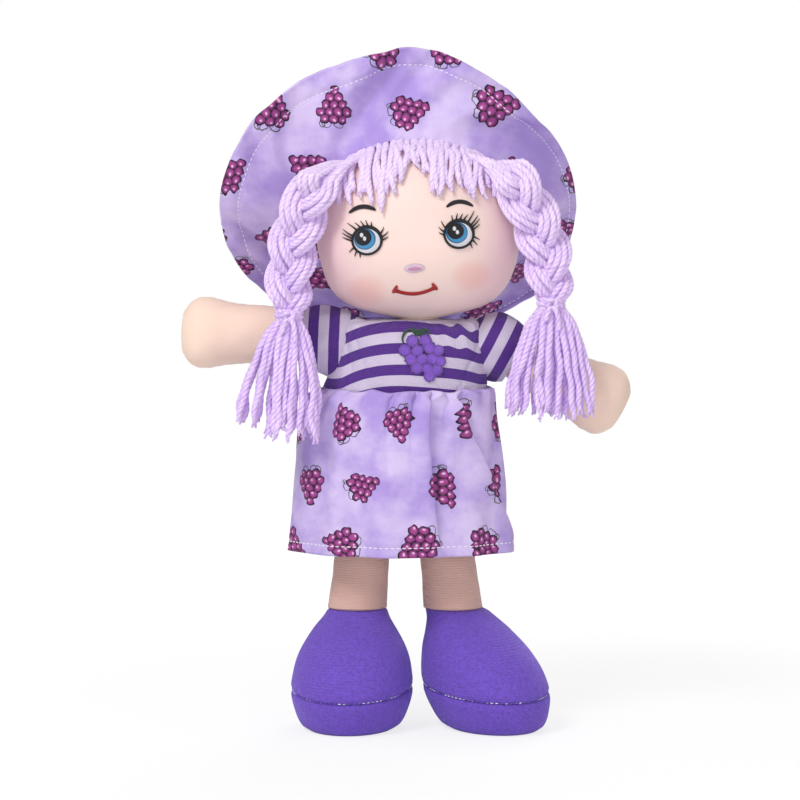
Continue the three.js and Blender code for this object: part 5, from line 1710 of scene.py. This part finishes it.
def make_fringe():
    """Two layers of short yarns that hang from the hat line, with frayed tips."""
    sizes = bpy.context.scene.doll_sizes
    rng = np.random.default_rng(sizes.seed)
    lift = sizes.yarn_radius / MM + 0.3
    paths, radii = [], []
    for layer, count in ((0, 21), (1, 19)):
        for k in range(count):
            place = (k + 0.5 * layer) / (count - 1 + 0.5 * layer)
            x = -31 + 61 * place + rng.uniform(-0.6, 0.6)
            drop = float(table(FRINGE_PLACES, FRINGE_DROPS, x)) * (1 - 0.22 * layer)
            drop += rng.uniform(-1.6, 1.6)
            top = hat_line(x)
            lean = rng.uniform(-2.3, 2.3) + 0.05 * x
            points = [top + [0, 1.5, 1.2], top + [0, -2.0 - 1.2 * layer, -1.5]]
            for share in (0.22, 0.5, 0.78, 1.0):
                off = lean * share + 0.8 * math.sin(5 * share + 2.1 * k)
                out = lift + 1.5 * (1 - layer) * (1 - share)
                points.append(head_front(x + off, top[2] - 2.5 - drop * share, out))
            paths.append(smooth_path(points, 40))
            radii.append(np.interp(np.linspace(0, 1, 40), [0, 0.85, 1], [0.95, 1.0, 0.75]))
            fray(paths, radii, rng, 1.1)
    done(yarns("fringe_yarns", paths, radii), "head", "yarn", "fringe")


# Each braid's side, start, tie and outward bow, and its tassel's lean, reach forwards, width, drop
# and seed
HAIR = {
    "right": {
        "side": -1, "root": (-41, -28, 244), "tie": (-54.5, -25, 183), "bow": 4.8,
        "lean": -4.5, "ahead": 6.0, "wide": 18.5, "drop": 54.0, "seed": 11,
    },
    "left": {
        "side": 1, "root": (39.5, -26.5, 245), "tie": (59, -24, 188), "bow": 5.6,
        "lean": -0.5, "ahead": 4.5, "wide": 20.0, "drop": 51.0, "seed": 23,
    },
}
BRAID_TURNS = 1.22
BRAID_WIDE, BRAID_DEEP = 6.4, 4.3
YARNS_IN_STRAND = 8
# Sideways shift and cut of the tassel's three clumps
TASSEL_CLUMPS = ((-1.6, 0.93), (0.6, 0.97), (1.4, 1.0))
TASSEL_DEEP = 7.8


def braid_middle(hair, share):
    """Middle line of a braid, which bows outwards and lies close to the head."""
    share = np.asarray(share, float)[..., None]
    root, tie = np.array(hair["root"], float), np.array(hair["tie"], float)
    out = np.sin(math.pi * share)
    return root + (tie - root) * share + out * np.array([hair["side"] * hair["bow"], 4.0, 0.0])


def braid_strand(hair, strand, share):
    """Line of one of three strands, and its side and depth directions."""
    middle = braid_middle(hair, share)
    forward = unit(np.gradient(middle, axis=0))
    across = unit(np.cross(BACKWARD, forward))
    deep = np.cross(forward, across)
    swing = TURN * (BRAID_TURNS * share + strand / 3)
    taper = table((0, 0.12, 0.86, 1), (0.72, 1, 0.92, 0.2), share)
    line = middle + across * (BRAID_WIDE * taper * np.sin(swing))[:, None]
    line = line + deep * (BRAID_DEEP * taper * np.sin(2 * swing))[:, None]
    run = unit(np.gradient(line, axis=0))
    side = unit(np.cross(deep, run))
    return line, side, np.cross(run, side)


def make_braid(name):
    """Three strands, led from the hat line. Each has one yarn inside and the others round it."""
    hair = HAIR[name]
    share = np.linspace(0, 1, 120)
    pack = table((0, 0.1, 0.85, 1), (0.85, 1, 0.95, 0.75), share)
    last = YARNS_IN_STRAND - 1
    paths, radii = [], []
    for strand in range(3):
        line, side, deep = braid_strand(hair, strand, share)
        for k in range(YARNS_IN_STRAND):
            a = TURN * k / last + 0.6 + strand
            reach = 0.0 if k == last else 1.0
            sway = 0.3 * np.sin(share * 17 + 2.4 * k + strand)
            off = side * ((3.5 * math.cos(a) * reach + sway) * pack)[:, None]
            yarn = line + off + deep * (2.4 * math.sin(a) * reach * pack)[:, None]
            order = strand * YARNS_IN_STRAND + (k * 3) % YARNS_IN_STRAND
            spread = (order / (3 * YARNS_IN_STRAND - 1) - 0.5) * 20
            top = hat_line(hair["root"][0] * 0.74 + spread * 0.75)
            mid = yarn[0] * 0.45 + top * 0.55 + [0, -2.8, -0.5]
            lead = smooth_path([top + [0, 1.2, 1.0], top + [0, -2.2, -1.6], mid, yarn[4]], 26)
            paths.append(np.concatenate([lead[:-1], yarn[4:]]))
            thin = np.interp(share[4:], [0, 0.88, 1], [1, 1, 0.72])
            radii.append(np.concatenate([np.ones(25), thin]))
    braid = yarns(f"{name}_braid_yarns", paths, radii)
    done(braid, f"{name}_hair", "yarn", f"{name}_braid")


def make_tie(name):
    """Yarn wound round the braid's end, with a knot and two tails in front."""
    tie = np.array(HAIR[name]["tie"], float)
    t = np.linspace(0, 1, 120)
    turns = TURN * 2.6 * t + 0.5
    ring = 5.1 - 0.3 * np.sin(t * 9)
    winding = tie + stack(ring * np.cos(turns), ring * 0.9 * np.sin(turns), 2.4 - 5.0 * t)
    front = tie + np.array([0.0, -5.4, -0.5])
    a = np.linspace(0, TURN * 1.15, 40)
    knot = front + stack(1.9 * np.cos(a), -0.8 + 0.7 * np.sin(2 * a), 1.7 * np.sin(a))
    paths = [winding, knot]
    for d in (-1, 1):
        tail = [[0.8 * d, -1.2, -1.0], [2.4 * d, -2.0, -5.0], [2.8 * d, -1.9, -9.0 - 2 * d]]
        paths.append(smooth_path(front + np.array(tail), 24))
    tied = yarns(f"{name}_tie_yarn", paths, thickness=0.85)
    done(tied, f"{name}_hair", "yarn", f"{name}_braid_tie")


def make_tassel(name):
    """Loose yarn ends below the tie, fuller in the middle and uneven at their tips."""
    hair = HAIR[name]
    tie = np.array(hair["tie"], float)
    rng = np.random.default_rng(hair["seed"])
    places = [(0.0, 0.0)]
    for reach, count in ((0.33, 5), (0.64, 10), (0.93, 15)):
        for a in ring_angles(count) + reach:
            places.append((reach * math.cos(a), reach * math.sin(a)))
    t = np.linspace(0, 1, 64)
    shares = (0, 0.08, 0.2, 0.45, 0.75, 1)
    wide = hair["wide"] * table(shares, (0.22, 0.34, 0.54, 0.74, 0.88, 0.9), t)
    deep = TASSEL_DEEP * table(shares, (0.4, 0.52, 0.68, 0.78, 0.8, 0.78), t)
    paths, radii = [], []
    for a, b in places:
        drop = hair["drop"] * (0.86 + 0.15 * rng.random())
        bend = rng.uniform(-1, 1, 4)
        sway = 1.5 * bend[0] * np.sin(t * (6 + 5 * bend[1]) + 3 * bend[2]) * t
        sway = sway + 0.4 * np.sin(t * 21 + 9 * bend[3]) * t
        nod = 0.7 * bend[3] * np.sin(t * 5 + 3 * bend[1]) * t
        twirl = a * np.cos(0.35 * bend[2] * t) - b * np.sin(0.35 * bend[2] * t)
        clump, cut = TASSEL_CLUMPS[int(a > -0.42) + int(a > 0.3)]
        x = hair["lean"] * t + twirl * wide + sway + clump * t * t
        y = b * deep + nod - hair["ahead"] * t
        paths.append(tie + stack(x, y, -0.8 - (drop * cut - 1.5) * t))
        radii.append(np.interp(t, [0, 0.12, 0.93, 1], [0.72, 1.0, 1.0, 0.75]))
        fray(paths, radii, rng, 1.6)
    tassel = yarns(f"{name}_tassel_yarns", paths, radii)
    done(tassel, f"{name}_hair", "yarn", f"{name}_tassel")
    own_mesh(tassel)


# Stage


STAGE_RADIUS = 3.0
# Place, power and size of each lamp
LAMPS = {
    "key_lamp": ((-0.5, -0.75, 1.0), 8.2, 0.4),
    "fill_lamp": ((0.3, -1.15, 0.05), 5.0, 0.7),
    "back_lamp": ((0.25, 0.75, 0.8), 3.0, 0.5),
}
CAMERA_DISTANCE, CAMERA_RISE, VIEW_WIDTH = 1.25, math.radians(3.5), 0.354
VIEW_MIDDLE = Vector((-0.0027, ORIGIN[1], 0.1443))


def make_floor():
    """A floor that keeps its shadow near the doll and is plain white to the camera further out."""
    floor = Finish("stage_floor", roughness=0.9)
    grain = floor.noise(floor.place(), 6)
    floor.wear(floor.mix(grain, (0.895, 0.895, 0.9), (0.905, 0.905, 0.905)))
    path = floor.tree.nodes.new("ShaderNodeLightPath")
    rays = ("Is Camera Ray", "Is Glossy Ray", "Is Transmission Ray")
    camera, glossy, through = (Term(floor, path.outputs[name]) for name in rays)
    x, y, _ = floor.parts(floor.place())
    far = floor.math("SQRT", x * x + y * y)
    plain = 0.74 + 0.26 * floor.smooth(far, 0.14, 0.5)
    seen = floor.math("MAXIMUM", floor.math("MAXIMUM", camera, glossy), through)
    glow = floor.add("ShaderNodeEmission", {"Color": (1, 1, 1, 1), "Strength": 1.04})
    surface = Term(floor, floor.shader.outputs[0])
    both = floor.add("ShaderNodeMixShader", (seen * plain, surface, glow))
    output = next(n for n in floor.tree.nodes if n.type == "OUTPUT_MATERIAL")
    floor.tree.links.new(both.socket, output.inputs[0])

    turn = ring_angles(64)
    points = stack(STAGE_RADIUS * np.cos(turn), STAGE_RADIUS * np.sin(turn), -0.00005)
    mesh = bpy.data.meshes.new("stage_floor")
    mesh.from_pydata(points.tolist(), [], [list(range(64))])
    new_piece("stage_floor", mesh, "stage_floor")


def make_world():
    """Soft light from all round, and white to the camera."""
    world = bpy.data.worlds.new("studio")
    bpy.context.scene.world = world
    world.use_nodes = True
    net = Net(world.node_tree)
    net.tree.nodes.clear()
    soft = net.add("ShaderNodeBackground", {"Color": (0.95, 0.95, 1.0, 1), "Strength": 0.5})
    white = net.add("ShaderNodeBackground", {"Color": (1, 1, 1, 1), "Strength": 1.0})
    path = net.tree.nodes.new("ShaderNodeLightPath")
    camera = Term(net, path.outputs["Is Camera Ray"])
    both = net.add("ShaderNodeMixShader", (camera, soft, white))
    output = net.tree.nodes.new("ShaderNodeOutputWorld")
    net.tree.links.new(both.socket, output.inputs[0])


def aim(name, data, place, direction):
    """Puts a lamp or a camera at its place, looking in a direction."""
    item = bpy.data.objects.new(name, data)
    item.location = place
    item.rotation_euler = direction.to_track_quat("-Z", "Y").to_euler()
    bpy.context.scene.collection.objects.link(item)
    return item


def make_stage():
    """Floor, surroundings, lamps and a camera that looks at the doll's front."""
    make_floor()
    make_world()
    for name, (place, power, size) in LAMPS.items():
        light = bpy.data.lights.new(name, "AREA")
        light.energy, light.shape, light.size = power, "SQUARE", size
        aim(name, light, place, Vector((0, 0, 0.15)) - Vector(place))
    lens = bpy.data.cameras.new("camera")
    lens.lens = 36 * CAMERA_DISTANCE / VIEW_WIDTH
    lens.clip_end = 20
    back = Vector((0.0, -math.cos(CAMERA_RISE), math.sin(CAMERA_RISE)))
    place = VIEW_MIDDLE + back * CAMERA_DISTANCE
    bpy.context.scene.camera = aim("camera", lens, place, -back)
    bpy.context.scene.view_settings.view_transform = "Standard"


# Operators, one for each piece or group of like pieces


class DollOperator:
    """What every step of the doll shares"""

    bl_options = {"REGISTER", "UNDO"}

    def execute(self, context):
        make_finishes()
        self.make()
        return {"FINISHED"}


class DOLL_OT_head(DollOperator, bpy.types.Operator):
    """Make the stuffed head and neck"""

    bl_idname = "doll.head"
    bl_label = "Head"

    def make(self):
        make_head()
        make_neck()


class DOLL_OT_face(DollOperator, bpy.types.Operator):
    """Embroider the eyes, brows, nose and mouth"""

    bl_idname = "doll.face"
    bl_label = "Face"

    def make(self):
        for name, side in (("right", -1), ("left", 1)):
            make_eye(name, side)
            make_brow(name, side)
        make_nose()
        make_mouth()


class DOLL_OT_body(DollOperator, bpy.types.Operator):
    """Make the stuffed torso, arms and legs"""

    bl_idname = "doll.body"
    bl_label = "Torso and Limbs"

    def make(self):
        make_torso()
        for name in ("right", "left"):
            make_hip_seam(name)
        for name in ("right", "left"):
            make_arm(name)
            make_leg(name)


class DOLL_OT_shoes(DollOperator, bpy.types.Operator):
    """Make the velvet shoes with their stitched toe seams"""

    bl_idname = "doll.shoes"
    bl_label = "Shoes"

    def make(self):
        make_shoe("right")
        make_shoe("left")


class DOLL_OT_shirt(DollOperator, bpy.types.Operator):
    """Make the striped shirt, its sleeves and the elastic at its waist"""

    bl_idname = "doll.shirt"
    bl_label = "Shirt"

    def make(self):
        make_shirt()
        make_waist_band()
        make_sleeve("right")
        make_sleeve("left")


class DOLL_OT_patch(DollOperator, bpy.types.Operator):
    """Sew the bunch of berries on the chest"""

    bl_idname = "doll.patch"
    bl_label = "Chest Patch"

    def make(self):
        make_patch()


class DOLL_OT_skirt(DollOperator, bpy.types.Operator):
    """Make the gathered skirt and its hem stitches"""

    bl_idname = "doll.skirt"
    bl_label = "Skirt"

    def make(self):
        make_skirt()


class DOLL_OT_hat(DollOperator, bpy.types.Operator):
    """Make the crown and brim of the sun hat"""

    bl_idname = "doll.hat"
    bl_label = "Sun Hat"

    def make(self):
        make_crown()
        make_brim()


class DOLL_OT_hair(DollOperator, bpy.types.Operator):
    """Wind the yarn of the fringe, braids, ties and tassels"""

    bl_idname = "doll.hair"
    bl_label = "Hair"

    def make(self):
        make_fringe()
        for name in ("right", "left"):
            make_braid(name)
            make_tie(name)
            make_tassel(name)


class DOLL_OT_stage(DollOperator, bpy.types.Operator):
    """Set out the floor, the lamps and the camera"""

    bl_idname = "doll.stage"
    bl_label = "Stage"

    def make(self):
        make_stage()


STEPS = (
    DOLL_OT_stage, DOLL_OT_head, DOLL_OT_face, DOLL_OT_body, DOLL_OT_shoes, DOLL_OT_shirt,
    DOLL_OT_patch, DOLL_OT_skirt, DOLL_OT_hat, DOLL_OT_hair,
)


class DOLL_PT_steps(bpy.types.Panel):
    """Steps of the doll, in the order in which they are made"""

    bl_idname = "DOLL_PT_steps"
    bl_label = "Rag Doll"
    bl_space_type = "VIEW_3D"
    bl_region_type = "UI"
    bl_category = "Rag Doll"

    def draw(self, context):
        column = self.layout.column()
        for step in STEPS:
            column.operator(step.bl_idname)
        for group in (context.scene.doll_colours, context.scene.doll_sizes):
            for name in group.bl_rna.properties.keys():
                if name not in ("rna_type", "name"):
                    column.prop(group, name)


CLASSES = (DollColours, DollSizes, *STEPS, DOLL_PT_steps)


def register():
    for cls in CLASSES:
        bpy.utils.register_class(cls)
    bpy.types.Scene.doll_colours = PointerProperty(type=DollColours)
    bpy.types.Scene.doll_sizes = PointerProperty(type=DollSizes)


def unregister():
    del bpy.types.Scene.doll_sizes
    del bpy.types.Scene.doll_colours
    for cls in reversed(CLASSES):
        bpy.utils.unregister_class(cls)


def main():
    """Makes the doll."""
    register()
    for step in STEPS:
        group, name = step.bl_idname.split(".")
        getattr(getattr(bpy.ops, group), name)()


if __name__ == "__main__":
    main()
